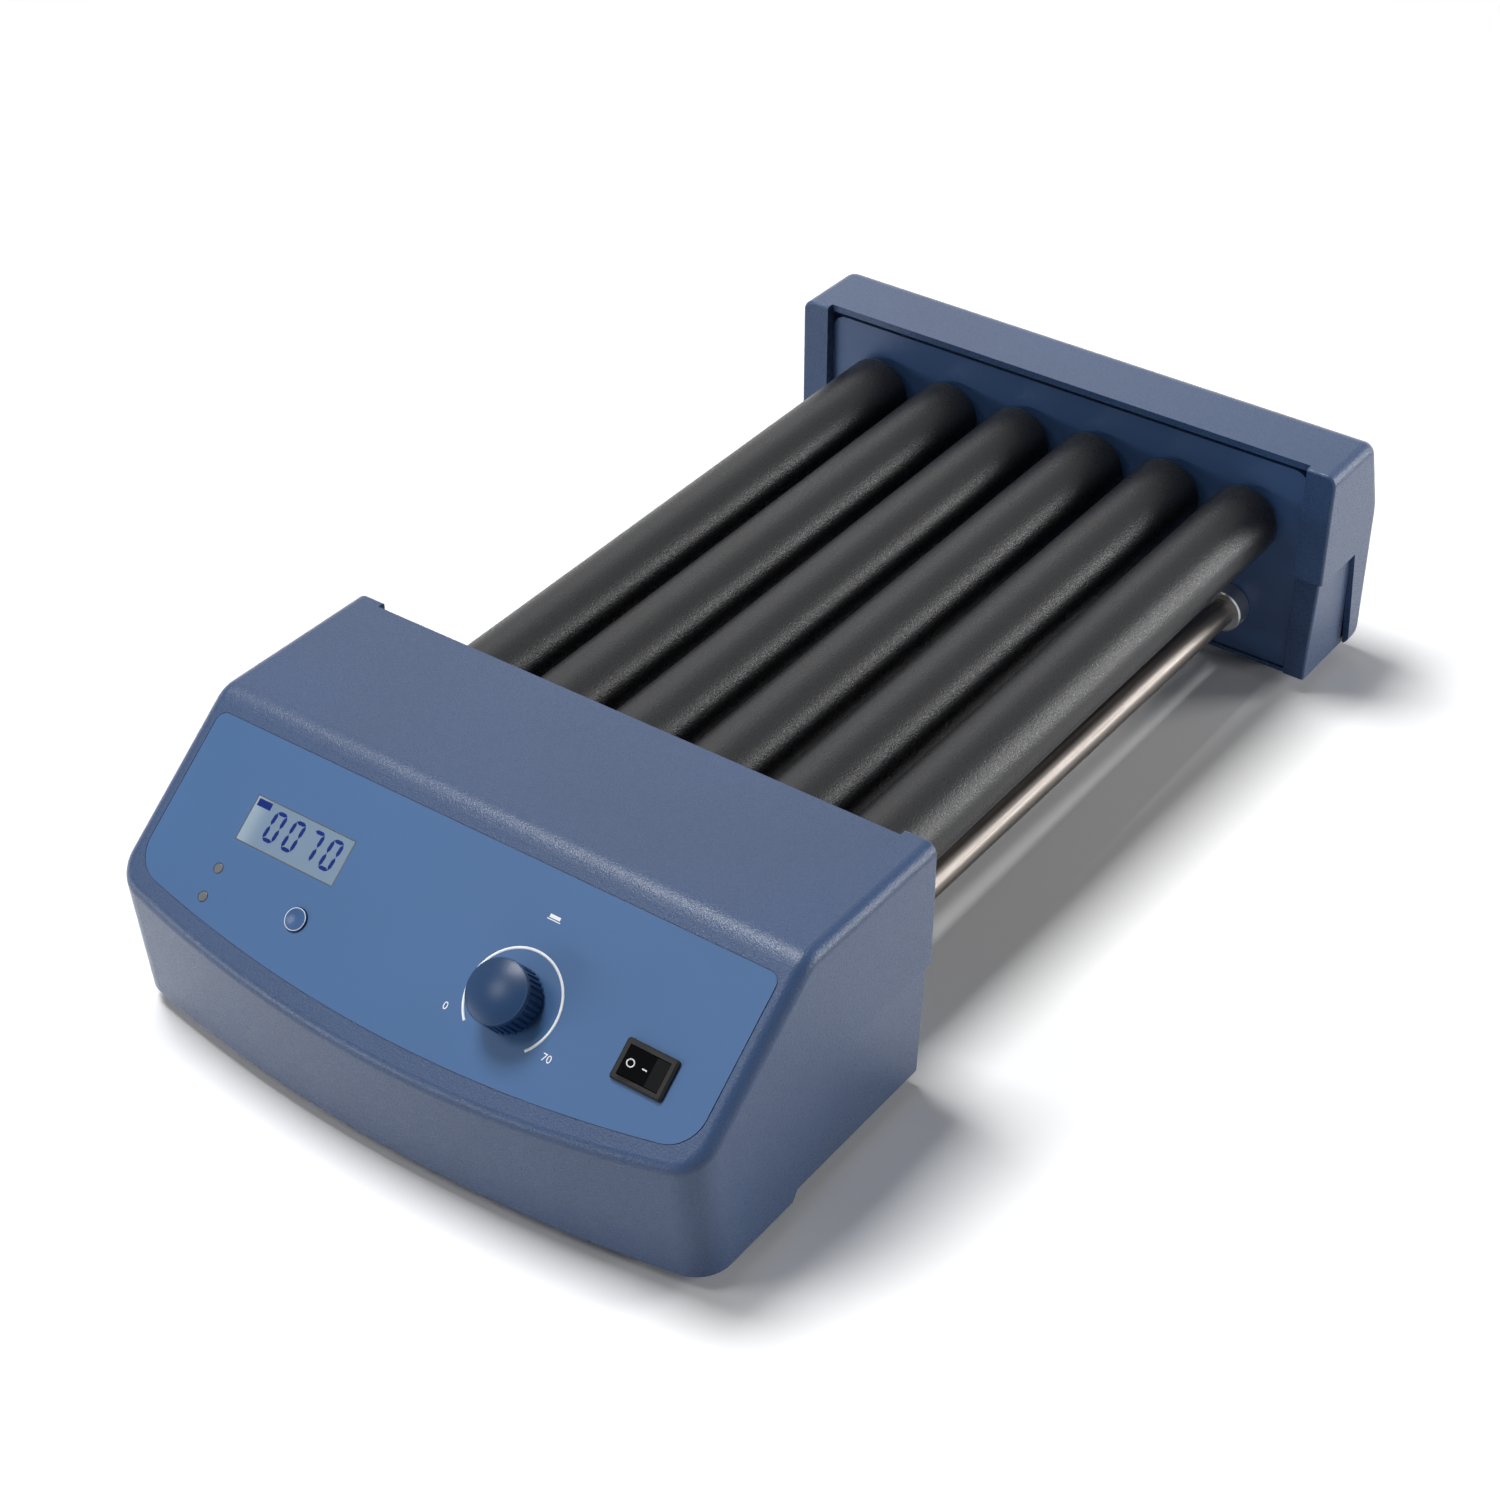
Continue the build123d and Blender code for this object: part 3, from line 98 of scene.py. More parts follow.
def grainedFinish(name, look, fixed):
    # even grain in bump and roughness, and a slow drift between two close colours; sizes in mm
    material, tree, skin, place = startMaterial(name, fixed)
    grain = addNode(tree, "ShaderNodeTexNoise", links={"Vector": place}, values={
        "Scale": 1 / (look["grain"] * mm), "Detail": 2.5, "Roughness": 0.6})
    drift = addNode(tree, "ShaderNodeTexNoise", links={"Vector": place}, values={
        "Scale": 1 / (look["drift"] * mm), "Detail": 1.5})
    tone = addNode(tree, "ShaderNodeMapRange", values=noiseSpan,
                   links={"Value": drift.outputs["Fac"]})
    colour = addNode(tree, "ShaderNodeMix", data_type="RGBA", links={0: tone.outputs["Result"]},
                     values={6: hexColour(look["colour"]), 7: hexColour(look["shade"])})
    rough = addNode(tree, "ShaderNodeMapRange", links={"Value": grain.outputs["Fac"]}, values={
        **noiseSpan, "To Min": look["rough"] - look["spread"],
        "To Max": look["rough"] + look["spread"]})
    bump = addNode(tree, "ShaderNodeBump", links={"Height": grain.outputs["Fac"]}, values={
        "Strength": look["strength"], "Distance": look["relief"] * mm})
    joinSkin(tree, skin, {"Base Color": colour.outputs[2], "Roughness": rough.outputs["Result"],
                          "Normal": bump.outputs["Normal"]})
    return material


def linedMetal(name, look, stretch, fixed):
    # fine lines left by a tool: noise drawn out along one way of the piece; sizes in mm
    material, tree, skin, place = startMaterial(name, {"Metallic": 1.0, **fixed})
    along = addNode(tree, "ShaderNodeMapping", links={"Vector": place}, values={"Scale": stretch})
    lines = addNode(tree, "ShaderNodeTexNoise", links={"Vector": along.outputs["Vector"]}, values={
        "Scale": 1 / (look["line"] * mm), "Detail": 3.0, "Roughness": 0.55})
    colour = addNode(tree, "ShaderNodeMix", data_type="RGBA", links={0: lines.outputs["Fac"]},
                     values={6: hexColour(look["shade"]), 7: hexColour(look["colour"])})
    rough = addNode(tree, "ShaderNodeMapRange", links={"Value": lines.outputs["Fac"]}, values={
        **noiseSpan, "To Min": look["rough"] + look["spread"],
        "To Max": look["rough"] - look["spread"]})
    bump = addNode(tree, "ShaderNodeBump", links={"Height": lines.outputs["Fac"]}, values={
        "Strength": look["strength"], "Distance": look["relief"] * mm})
    joinSkin(tree, skin, {"Base Color": colour.outputs[2], "Roughness": rough.outputs["Result"],
                          "Normal": bump.outputs["Normal"]})
    return material


# ABS moulded in a spark-eroded tool: an even pebble grain that breaks up the shine.
# The real grain is about half as wide, and is drawn coarser so that it shows
housingLook = {"colour": "28456E", "shade": "264269", "grain": 0.7, "drift": 60.0, "rough": 0.31,
               "spread": 0.08, "strength": 1.0, "relief": 0.17}
housingAbs = grainedFinish("absMouldedSparkGrain", housingLook, {
    "IOR": 1.54, "Specular IOR Level": 0.36, "Sheen Weight": 0.55, "Sheen Roughness": 0.36})

# Steel sheet with a powder coat: faint orange peel about a millimetre across under a satin skin
plateLook = {"colour": "38547F", "shade": "355079", "grain": 1.1, "drift": 45.0, "rough": 0.36,
             "spread": 0.03, "strength": 0.12, "relief": 0.03}
plateCoat = grainedFinish("steelPowderCoatedNavy", plateLook, {"IOR": 1.5})

# Polyester film printed from behind: flat satin face with a very fine velvet texture
filmLook = {"colour": "446896", "shade": "426693", "grain": 0.3, "drift": 50.0, "rough": 0.42,
            "spread": 0.03, "strength": 0.10, "relief": 0.012}
filmPrint = grainedFinish("polyesterFilmBackPrinted", filmLook, {
    "IOR": 1.57, "Specular IOR Level": 0.2})

# Black rubber tube, extruded and ground: dull, with a speckle that catches the light.
# The grit marks are finer on a real one, and are drawn coarser so that they show
rollerLook = {"colour": "111316", "shade": "0F1013", "grain": 0.8, "drift": 30.0, "rough": 0.35,
              "spread": 0.12, "strength": 1.0, "relief": 0.18}
rollerRubber = grainedFinish("rubberTubeGround", rollerLook, {
    "IOR": 1.52, "Specular IOR Level": 0.32})

# Knob of ABS with an eroded satin face: dark blue, smooth enough to carry soft highlights
knobLook = {"colour": "173A62", "shade": "15365C", "grain": 0.25, "drift": 12.0, "rough": 0.3,
            "spread": 0.04, "strength": 0.18, "relief": 0.015}
knobAbs = grainedFinish("absMouldedSatinNavy", knobLook, {"IOR": 1.54, "Specular IOR Level": 0.25})

# Push key in the film's blue, gloss moulded so that its dish shows
keyLook = {"colour": "3A5D8D", "shade": "365785", "grain": 0.2, "drift": 6.0, "rough": 0.22,
           "spread": 0.03, "strength": 0.05, "relief": 0.01}
keyAbs = grainedFinish("absMouldedGlossBlue", keyLook, {"IOR": 1.54, "Specular IOR Level": 0.25})

# Nylon switch body, moulded dull black
nylonLook = {"colour": "1B1B1D", "shade": "171719", "grain": 0.22, "drift": 10.0, "rough": 0.5,
             "spread": 0.05, "strength": 0.3, "relief": 0.02}
switchNylon = grainedFinish("nylonMouldedDullBlack", nylonLook, {
    "IOR": 1.53, "Specular IOR Level": 0.2})

# Polycarbonate rocker from a polished tool: deep black with soft, faint reflections
rockerLook = {"colour": "08090B", "shade": "060709", "grain": 0.4, "drift": 5.0, "rough": 0.28,
              "spread": 0.02, "strength": 0.03, "relief": 0.01}
rockerPolycarbonate = grainedFinish("polycarbonateMouldedGlossBlack", rockerLook, {
    "IOR": 1.58, "Specular IOR Level": 0.03})

# Feet of moulded rubber: chalky black, no clear shine
feetLook = {"colour": "161616", "shade": "1C1B1A", "grain": 0.7, "drift": 8.0, "rough": 0.78,
            "spread": 0.08, "strength": 0.4, "relief": 0.06}
feetRubber = grainedFinish("rubberMouldedBlack", feetLook, {"IOR": 1.52})

# Natural acetal gears, hobbed: off-white, a little waxy
acetalLook = {"colour": "DEDDD2", "shade": "D5D3C6", "grain": 0.5, "drift": 9.0, "rough": 0.42,
              "spread": 0.05, "strength": 0.15, "relief": 0.02}
gearAcetal = grainedFinish("acetalHobbedNatural", acetalLook, {
    "IOR": 1.48, "Subsurface Weight": 0.12, "Subsurface Scale": 0.0015})

# Sintered bronze bushes: dull brown gold with open pores a fifth of a millimetre wide
bronzeLook = {"colour": "A67842", "shade": "8C6234", "grain": 0.2, "drift": 4.0, "rough": 0.5,
              "spread": 0.1, "strength": 0.6, "relief": 0.05}
bushBronze = grainedFinish("bronzeSinteredPorous", bronzeLook, {"Metallic": 1.0})

# Epoxy cases of electronic parts: charcoal, finely stippled
epoxyLook = {"colour": "1A1A1C", "shade": "202023", "grain": 0.15, "drift": 7.0, "rough": 0.55,
             "spread": 0.05, "strength": 0.3, "relief": 0.01}
caseEpoxy = grainedFinish("epoxyMouldedCharcoal", epoxyLook, {"IOR": 1.55})

# Zinc plate on small steel parts: bright, with a cloudy crystal drift
zincLook = {"colour": "C3C8CC", "shade": "AFB4B6", "grain": 0.3, "drift": 2.5, "rough": 0.3,
            "spread": 0.06, "strength": 0.1, "relief": 0.01}
zincPlate = grainedFinish("steelZincPlatedBright", zincLook, {"Metallic": 1.0})

# Stainless rod, drawn and satin polished: faint lines along its length, drawn wider than real ones
rodLook = {"colour": "7F7974", "shade": "67625E", "line": 0.5, "rough": 0.4, "spread": 0.05,
           "strength": 0.12, "relief": 0.01}
rodStainless = linedMetal("stainlessDrawnSatin", rodLook, (1.0, 0.015, 1.0), {"Anisotropic": 0.35})

# Steel collar, turned: fine rings on a satin grey
collarLook = {"colour": "BEBFC2", "shade": "A0A1A5", "line": 0.35, "rough": 0.36, "spread": 0.06,
              "strength": 0.15, "relief": 0.01}
collarSteel = linedMetal("steelTurnedSatin", collarLook, (0.3, 1.0, 0.3), {})

# Aluminium sheet, rolled: long straight lines in a grey sheen
sheetLook = {"colour": "C9CBCE", "shade": "B4B6B9", "line": 0.4, "rough": 0.36, "spread": 0.06,
             "strength": 0.12, "relief": 0.01}
sheetAluminium = linedMetal("aluminiumRolledSheet", sheetLook, (0.03, 1.0, 1.0), {})

# Lens of frosted acrylic over an unlit light: milky grey
lensLook = {"colour": "5A5E64", "shade": "53575C", "grain": 0.3, "drift": 3.0, "rough": 0.32,
            "spread": 0.03, "strength": 0.1, "relief": 0.01}
lensAcrylic = grainedFinish("acrylicFrostedLens", lensLook, {
    "IOR": 1.49, "Subsurface Weight": 0.2, "Subsurface Scale": 0.001})

# White screen ink: matt, very slightly uneven where the mesh laid it down
inkLook = {"colour": "F4F7FA", "shade": "E9EEF3", "grain": 0.2, "drift": 4.0, "rough": 0.55,
           "spread": 0.05, "strength": 0.1, "relief": 0.01}
whiteInk = grainedFinish("screenInkWhite", inkLook, {"IOR": 1.5})

# Turned on segments of the display: deep blue dye seen through the polariser
segmentLook = {"colour": "08277A", "shade": "07236E", "grain": 0.3, "drift": 6.0, "rough": 0.3,
               "spread": 0.02, "strength": 0.05, "relief": 0.005}
segmentDye = grainedFinish("liquidCrystalDyeBlue", segmentLook, {
    "IOR": 1.5, "Specular IOR Level": 0.1})


def circuitBoard():
    # glass fibre laminate under green solder mask, with copper tracks showing as a lighter green
    look = {"mask": "17532F", "track": "2C7A45", "rough": 0.28, "strength": 0.3, "relief": 0.035,
            "pitch": 2.54, "trackWidth": 0.12, "trackEdge": 0.2, "runLength": 2.6, "rowHeight": 0.5}
    fixed = {"IOR": 1.5, "Roughness": look["rough"]}
    material, tree, skin, place = startMaterial("glassFibreBoardSolderMasked", fixed)
    tracks = addNode(tree, "ShaderNodeTexBrick", offset=0.5, links={"Vector": place}, values={
        "Scale": 1 / (look["pitch"] * mm), "Mortar Size": look["trackWidth"],
        "Mortar Smooth": look["trackEdge"], "Brick Width": look["runLength"],
        "Row Height": look["rowHeight"], "Color1": hexColour(look["mask"]),
        "Color2": hexColour(look["mask"]), "Mortar": hexColour(look["track"])})
    bump = addNode(tree, "ShaderNodeBump", links={"Height": tracks.outputs["Fac"]}, values={
        "Strength": look["strength"], "Distance": look["relief"] * mm})
    joinSkin(tree, skin, {"Base Color": tracks.outputs["Color"], "Normal": bump.outputs["Normal"]})
    return material


boardMask = circuitBoard()

# The panel's own axes: across, up the slope and straight out of it
turnJoint = next(j for j in frame["joints"] if j["name"] == "knob_turn")
rockJoint = next(j for j in frame["joints"] if j["name"] == "power_rock")
panelOut = Vector(turnJoint["axis"])
panelUp = Vector(rockJoint["axis"])
panelAcross = Vector((1.0, 0.0, 0.0))
knobCentre = Vector(turnJoint["pos_m"])
panelFace = {
    "knobAcross": 40.9,  # knob's place on the panel, across from the middle
    "knobDown": 55.2,    # and down the slope from the bend, in mm
    "filmLift": 0.1,     # film's face above the moulding
    "inkThick": 0.04,
}


def panelPlace(across, down, lift=0.0):
    # frame on the sloping panel at a place in mm: X across, Y up the slope, Z outwards
    centre = knobCentre + panelAcross * (across - panelFace["knobAcross"]) * mm
    centre += panelUp * (panelFace["knobDown"] - down) * mm + panelOut * lift * mm
    turn = Matrix((panelAcross, panelUp, panelOut)).transposed().to_4x4()
    return Matrix.Translation(centre) @ turn


def displayGlass():
    # liquid crystal cell in glass: blue grey polariser with a painted glow, paler towards its left end, tan where
    # the seal shows; lengths in mm on the panel
    look = {"face": "6E869D", "paintedGlow": "93A6B6", "seal": "6E6B62", "across": -68.9, "down": 39.3,
            "halfWidth": 23.2, "halfHeight": 8.9, "sealWidth": 0.3, "fade": 9.0,
            "ripple": 0.3, "strength": 0.05, "relief": 0.005}
    fixed = {"IOR": 1.5, "Roughness": 0.3, "Specular IOR Level": 0.3}
    material, tree, skin, place = startMaterial("liquidCrystalCellPolarised", fixed)
    back = panelPlace(look["across"], look["down"]).inverted()
    local = addNode(tree, "ShaderNodeMapping", links={"Vector": place}, values={
        "Rotation": back.to_euler(), "Location": back.to_translation()})
    parts = addNode(tree, "ShaderNodeSeparateXYZ", links={"Vector": local.outputs["Vector"]})
    # painted glow: the colour runs from the paler tone at the left end into the plain face over the first fade mm
    fade = addNode(tree, "ShaderNodeMapRange", interpolation_type="SMOOTHSTEP",
                   links={"Value": parts.outputs["X"]}, values={
                       "From Min": -look["halfWidth"] * mm,
                       "From Max": (look["fade"] - look["halfWidth"]) * mm})
    face = addNode(tree, "ShaderNodeMix", data_type="RGBA", links={0: fade.outputs["Result"]},
                   values={6: hexColour(look["paintedGlow"]), 7: hexColour(look["face"])})
    edges = []
    for axis, half in (("X", look["halfWidth"]), ("Y", look["halfHeight"])):
        size = addNode(tree, "ShaderNodeMath", operation="ABSOLUTE", links={0: parts.outputs[axis]})
        edge = addNode(tree, "ShaderNodeMath", operation="GREATER_THAN",
                       links={0: size.outputs[0]}, values={1: (half - look["sealWidth"]) * mm})
        edges.append(edge.outputs[0])
    seal = addNode(tree, "ShaderNodeMath", operation="MAXIMUM", links={0: edges[0], 1: edges[1]})
    cell = addNode(tree, "ShaderNodeMix", data_type="RGBA", values={7: hexColour(look["seal"])},
                   links={0: seal.outputs[0], 6: face.outputs[2]})
    glass = addNode(tree, "ShaderNodeTexNoise", links={"Vector": place}, values={
        "Scale": 1 / (look["ripple"] * mm)})
    bump = addNode(tree, "ShaderNodeBump", links={"Height": glass.outputs["Fac"]}, values={
        "Strength": look["strength"], "Distance": look["relief"] * mm})
    joinSkin(tree, skin, {"Base Color": cell.outputs[2], "Normal": bump.outputs["Normal"]})
    return material


displayCell = displayGlass()

slotFinish = {
    "housing": housingAbs, "plate": plateCoat, "film": filmPrint, "roller": rollerRubber,
    "gear": gearAcetal, "steel": rodStainless, "zinc": zincPlate, "dark_steel": collarSteel,
    "bronze": bushBronze, "aluminium": sheetAluminium, "board": boardMask, "component": caseEpoxy,
    "lcd": displayCell, "light": lensAcrylic, "button": keyAbs, "knob": knobAbs,
    "black_gloss": rockerPolycarbonate, "black_matte": switchNylon, "rubber": feetRubber,
}
for row in frame["record"]["subparts"]:
    node = frame["nodes"][row["node"]]
    for slot in node.material_slots:
        slot.material = slotFinish[row["material_slot"]]
print("finishes made:", len(bpy.data.materials))


# Geometry Nodes trees for what follows a rule

def newTree(name, sockets):
    # tree with named inputs; each socket is (name, type)
    tree = bpy.data.node_groups.new(name, "GeometryNodeTree")
    tree.interface.new_socket(name="Geometry", in_out="OUTPUT", socket_type="NodeSocketGeometry")
    for label, kind in sockets:
        tree.interface.new_socket(name=label, in_out="INPUT", socket_type=kind)
    return tree, addNode(tree, "NodeGroupInput").outputs


def closeTree(tree, shape, material):
    # every tree ends the same way: real mesh, then its finish
    real = addNode(tree, "GeometryNodeRealizeInstances", links={"Geometry": shape})
    dressed = addNode(tree, "GeometryNodeSetMaterial", links={
        "Geometry": real.outputs["Geometry"], "Material": material})
    addNode(tree, "NodeGroupOutput", links={"Geometry": dressed.outputs["Geometry"]})


def grownMesh(name, tree, values, place):
    # evaluates a tree on an empty mesh, takes the plain mesh and drops the modifier
    seed = bpy.data.objects.new(name + "Seed", bpy.data.meshes.new(name + "Seed"))
    bpy.context.scene.collection.objects.link(seed)
    shape = seed.modifiers.new("shape", "NODES")
    shape.node_group = tree
    for socket in tree.interface.items_tree:
        if socket.in_out == "INPUT":
            shape[socket.identifier] = values[socket.name]
    bpy.context.view_layer.update()
    grown = seed.evaluated_get(bpy.context.evaluated_depsgraph_get())
    mesh = bpy.data.meshes.new_from_object(grown)
    seed.modifiers.remove(shape)
    bpy.data.objects.remove(seed)
    mesh.name = name
    mesh.transform(place)
    return mesh


weldGap = 0.0005 * mm  # points nearer than this become one


def addPiece(name, mesh, body, slot, *nodes):
    # one finished object at the origin, riding on its body
    form = bmesh.new()
    form.from_mesh(mesh)
    bmesh.ops.remove_doubles(form, verts=form.verts, dist=weldGap)
    bmesh.ops.recalc_face_normals(form, faces=form.faces)
    form.to_mesh(mesh)
    form.free()
    piece = bpy.data.objects.new(name, mesh)
    bpy.context.scene.collection.objects.link(piece)
    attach(piece, body)
    if nodes:
        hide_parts(*nodes)
    return piece


def sleeveTree():
    # wall section with rounded corners, swept round the roller's axis
    tree, given = newTree("rollerSleeve", (
        ("Length", "NodeSocketFloat"), ("Radius", "NodeSocketFloat"), ("Bore", "NodeSocketFloat"),
        ("End Round", "NodeSocketFloat"), ("Bore Edge", "NodeSocketFloat"),
        ("Round Steps", "NodeSocketInt"), ("Steps", "NodeSocketInt"),
        ("Finish", "NodeSocketMaterial")))
    walls = {0: given["Radius"], 1: given["Bore"]}
    wall = addNode(tree, "ShaderNodeMath", operation="SUBTRACT", links=walls)
    both = addNode(tree, "ShaderNodeMath", operation="ADD", links=walls)
    middle = addNode(tree, "ShaderNodeMath", operation="MULTIPLY", links={0: both.outputs[0]},
                     values={1: 0.5})
    section = addNode(tree, "GeometryNodeCurvePrimitiveQuadrilateral", links={
        "Width": wall.outputs[0], "Height": given["Length"]})
    position = addNode(tree, "GeometryNodeInputPosition")
    spot = addNode(tree, "ShaderNodeSeparateXYZ", links={"Vector": position.outputs["Position"]})
    outer = addNode(tree, "FunctionNodeCompare", operation="GREATER_THAN",
                    links={0: spot.outputs["X"]})
    roundSize = addNode(tree, "GeometryNodeSwitch", input_type="FLOAT", links={
        "Switch": outer.outputs["Result"], "False": given["Bore Edge"], "True": given["End Round"]})
    soft = addNode(tree, "GeometryNodeFilletCurve", mode="POLY", links={
        "Curve": section.outputs["Curve"], "Radius": roundSize.outputs["Output"],
        "Count": given["Round Steps"]})
    ring = addNode(tree, "GeometryNodeCurvePrimitiveCircle", links={
        "Resolution": given["Steps"], "Radius": middle.outputs[0]})
    skin = addNode(tree, "GeometryNodeCurveToMesh", links={
        "Curve": ring.outputs["Curve"], "Profile Curve": soft.outputs["Curve"]})
    smooth = addNode(tree, "GeometryNodeSetShadeSmooth", links={"Geometry": skin.outputs["Mesh"]})
    closeTree(tree, smooth.outputs["Geometry"], given["Finish"])
    return tree


rollerShape = {
    "radius": 15.8,
    "bore": 10.8,
    "endRound": 4.4,
    "boreEdge": 0.25,
    "frontY": -101.3,
    "backY": 201.8,
    "throw": 4.5,        # spindle off centre at each end, in opposite senses
    "throwAngle": 74.0,
    "roundSteps": 9,
    "steps": 96,
    "evenShade": 100,    # weight of the large faces in the shading
}
sleeves = sleeveTree()
lean = math.radians(rollerShape["throwAngle"])
swing = Vector((math.cos(lean), 0.0, math.sin(lean))) * rollerShape["throw"] * mm
for joint in frame["joints"]:
    if not (joint["name"].startswith("roller_") and joint["name"].endswith("_spin")):
        continue
    body = joint["name"].removesuffix("_spin")
    spindle = Vector(joint["pos_m"])
    front = Vector((spindle.x, rollerShape["frontY"] * mm, spindle.z)) - swing
    back = Vector((spindle.x, rollerShape["backY"] * mm, spindle.z)) + swing
    axis = back - front
    turn = axis.to_track_quat("Z", "X").to_matrix().to_4x4()
    place = Matrix.Translation((front + back) / 2) @ turn
    mesh = grownMesh(body + "_tube", sleeves, {
        "Length": axis.length, "Radius": rollerShape["radius"] * mm,
        "Bore": rollerShape["bore"] * mm, "End Round": rollerShape["endRound"] * mm,
        "Bore Edge": rollerShape["boreEdge"] * mm, "Round Steps": rollerShape["roundSteps"],
        "Steps": rollerShape["steps"], "Finish": rollerRubber}, place)
    tube = addPiece(body + "_tube", mesh, body, "roller", body + "_sleeve")
    tube.modifiers.new("evenShade", "WEIGHTED_NORMAL").weight = rollerShape["evenShade"]
print("rollers swept")


def ringTree():
    # arc with a flat bar section, for printed arcs and rings
    tree, given = newTree("printedArc", (
        ("Radius", "NodeSocketFloat"), ("Start", "NodeSocketFloat"), ("Sweep", "NodeSocketFloat"),
        ("Width", "NodeSocketFloat"), ("Thick", "NodeSocketFloat"), ("Steps", "NodeSocketInt"),
        ("Finish", "NodeSocketMaterial")))
    path = addNode(tree, "GeometryNodeCurveArc", links={
        "Resolution": given["Steps"], "Radius": given["Radius"], "Start Angle": given["Start"],
        "Sweep Angle": given["Sweep"]})
    section = addNode(tree, "GeometryNodeCurvePrimitiveQuadrilateral", links={
        "Width": given["Width"], "Height": given["Thick"]})
    line = addNode(tree, "GeometryNodeCurveToMesh", values={"Fill Caps": True}, links={
        "Curve": path.outputs["Curve"], "Profile Curve": section.outputs["Curve"]})
    closeTree(tree, line.outputs["Mesh"], given["Finish"])
    return tree


def segmentTree():
    # pointed bars on the points of a mesh, turned where its attribute says so, then leant over
    tree, given = newTree("displaySegments", (
        ("Points", "NodeSocketObject"), ("Long", "NodeSocketFloat"), ("Short", "NodeSocketFloat"),
        ("Stroke", "NodeSocketFloat"), ("Thick", "NodeSocketFloat"), ("Lean", "NodeSocketFloat"),
        ("Finish", "NodeSocketMaterial")))
    spots = addNode(tree, "GeometryNodeObjectInfo", links={"Object": given["Points"]})
    upright = addNode(tree, "GeometryNodeInputNamedAttribute", data_type="FLOAT",
                      values={"Name": "upright"})
    bar = addNode(tree, "GeometryNodeMeshCylinder", values={
        "Vertices": 6, "Radius": 0.5, "Depth": 1.0})
    length = addNode(tree, "ShaderNodeMix", links={
        0: upright.outputs["Attribute"], 2: given["Short"], 3: given["Long"]})
    size = addNode(tree, "ShaderNodeCombineXYZ", links={
        "X": length.outputs[0], "Y": given["Stroke"], "Z": given["Thick"]})
    quarter = addNode(tree, "ShaderNodeMath", operation="MULTIPLY", values={1: math.pi / 2},
                      links={0: upright.outputs["Attribute"]})
    turn = addNode(tree, "ShaderNodeCombineXYZ", links={"Z": quarter.outputs[0]})
    laid = addNode(tree, "GeometryNodeInstanceOnPoints", links={
        "Points": spots.outputs["Geometry"], "Instance": bar.outputs["Mesh"],
        "Rotation": turn.outputs["Vector"], "Scale": size.outputs["Vector"]})
    real = addNode(tree, "GeometryNodeRealizeInstances",
                   links={"Geometry": laid.outputs["Instances"]})
    position = addNode(tree, "GeometryNodeInputPosition")
    spot = addNode(tree, "ShaderNodeSeparateXYZ", links={"Vector": position.outputs["Position"]})
    slant = addNode(tree, "ShaderNodeMath", operation="MULTIPLY", links={
        0: spot.outputs["Y"], 1: given["Lean"]})
    shift = addNode(tree, "ShaderNodeCombineXYZ", links={"X": slant.outputs[0]})
    leant = addNode(tree, "GeometryNodeSetPosition", links={
        "Geometry": real.outputs["Geometry"], "Offset": shift.outputs["Vector"]})
    closeTree(tree, leant.outputs["Geometry"], given["Finish"])
    return tree


def joinMeshes(name, meshes, finish):
    # several meshes with one finish as one mesh
    form = bmesh.new()
    for mesh in meshes:
        form.from_mesh(mesh)
    joined = bpy.data.meshes.new(name)
    form.to_mesh(joined)
    form.free()
    joined.materials.append(finish)
    return joined


def slab(corners, low, high, finish, place):
    # flat shape with straight sides between two heights, in mm on its place
    form = bmesh.new()
    rings = [[form.verts.new((x * mm, y * mm, z * mm)) for x, y in corners] for z in (low, high)]
    form.faces.new(list(reversed(rings[0])))
    form.faces.new(rings[1])
    for k in range(len(corners)):
        near, far = k, (k + 1) % len(corners)
        form.faces.new((rings[0][near], rings[0][far], rings[1][far], rings[1][near]))
    mesh = bpy.data.meshes.new("slab")
    form.to_mesh(mesh)
    form.free()
    mesh.materials.append(finish)
    mesh.transform(place)
    return mesh


def rectangle(x0, x1, y0, y1):
    return [(x0, y0), (x1, y0), (x1, y1), (x0, y1)]


numeralShare = 0.72  # height of a numeral as a share of the font's size


def numeral(text, height, thick, finish, place):
    # numbers made a mesh before they are placed
    words = bpy.data.curves.new("numeral", "FONT")
    words.body = text
    words.size = height / numeralShare * mm
    words.align_x = "CENTER"
    words.align_y = "CENTER"
    words.extrude = thick / 2 * mm
    words.resolution_u = 4
    holder = bpy.data.objects.new("numeral", words)
    bpy.context.scene.collection.objects.link(holder)
    bpy.context.view_layer.update()
    flat = holder.evaluated_get(bpy.context.evaluated_depsgraph_get())
    mesh = bpy.data.meshes.new_from_object(flat)
    bpy.data.objects.remove(holder)
    mesh.materials.clear()
    mesh.materials.append(finish)
    mesh.transform(place)
    return mesh


arcs = ringTree()
printing = {
    "arcRadius": 18.6, "arcWidth": 1.0, "arcStart": -45.0, "arcSweep": 270.0, "arcSteps": 120,
    "lowNumber": ("0", 18.5, 66.9), "highNumber": ("70", 62.8, 67.2), "numberHeight": 2.9,
    "pushAcross": 40.35, "pushDown": 24.3,
    "pushBars": ((-2.2, 2.2, -0.1, 1.15), (-2.8, 2.8, -0.85, -0.5)),  # left, right, foot and head
}
inkLift = panelFace["filmLift"] + panelFace["inkThick"] / 2
inkLow = panelFace["filmLift"] - panelFace["inkThick"]
inkHigh = panelFace["filmLift"] + panelFace["inkThick"]
dialPlace = panelPlace(panelFace["knobAcross"], panelFace["knobDown"], inkLift)
dialPrint = [grownMesh("dialArc", arcs, {
    "Radius": printing["arcRadius"] * mm, "Start": math.radians(printing["arcStart"]),
    "Sweep": math.radians(printing["arcSweep"]), "Width": printing["arcWidth"] * mm,
    "Thick": panelFace["inkThick"] * mm, "Steps": printing["arcSteps"],
    "Finish": whiteInk}, dialPlace)]
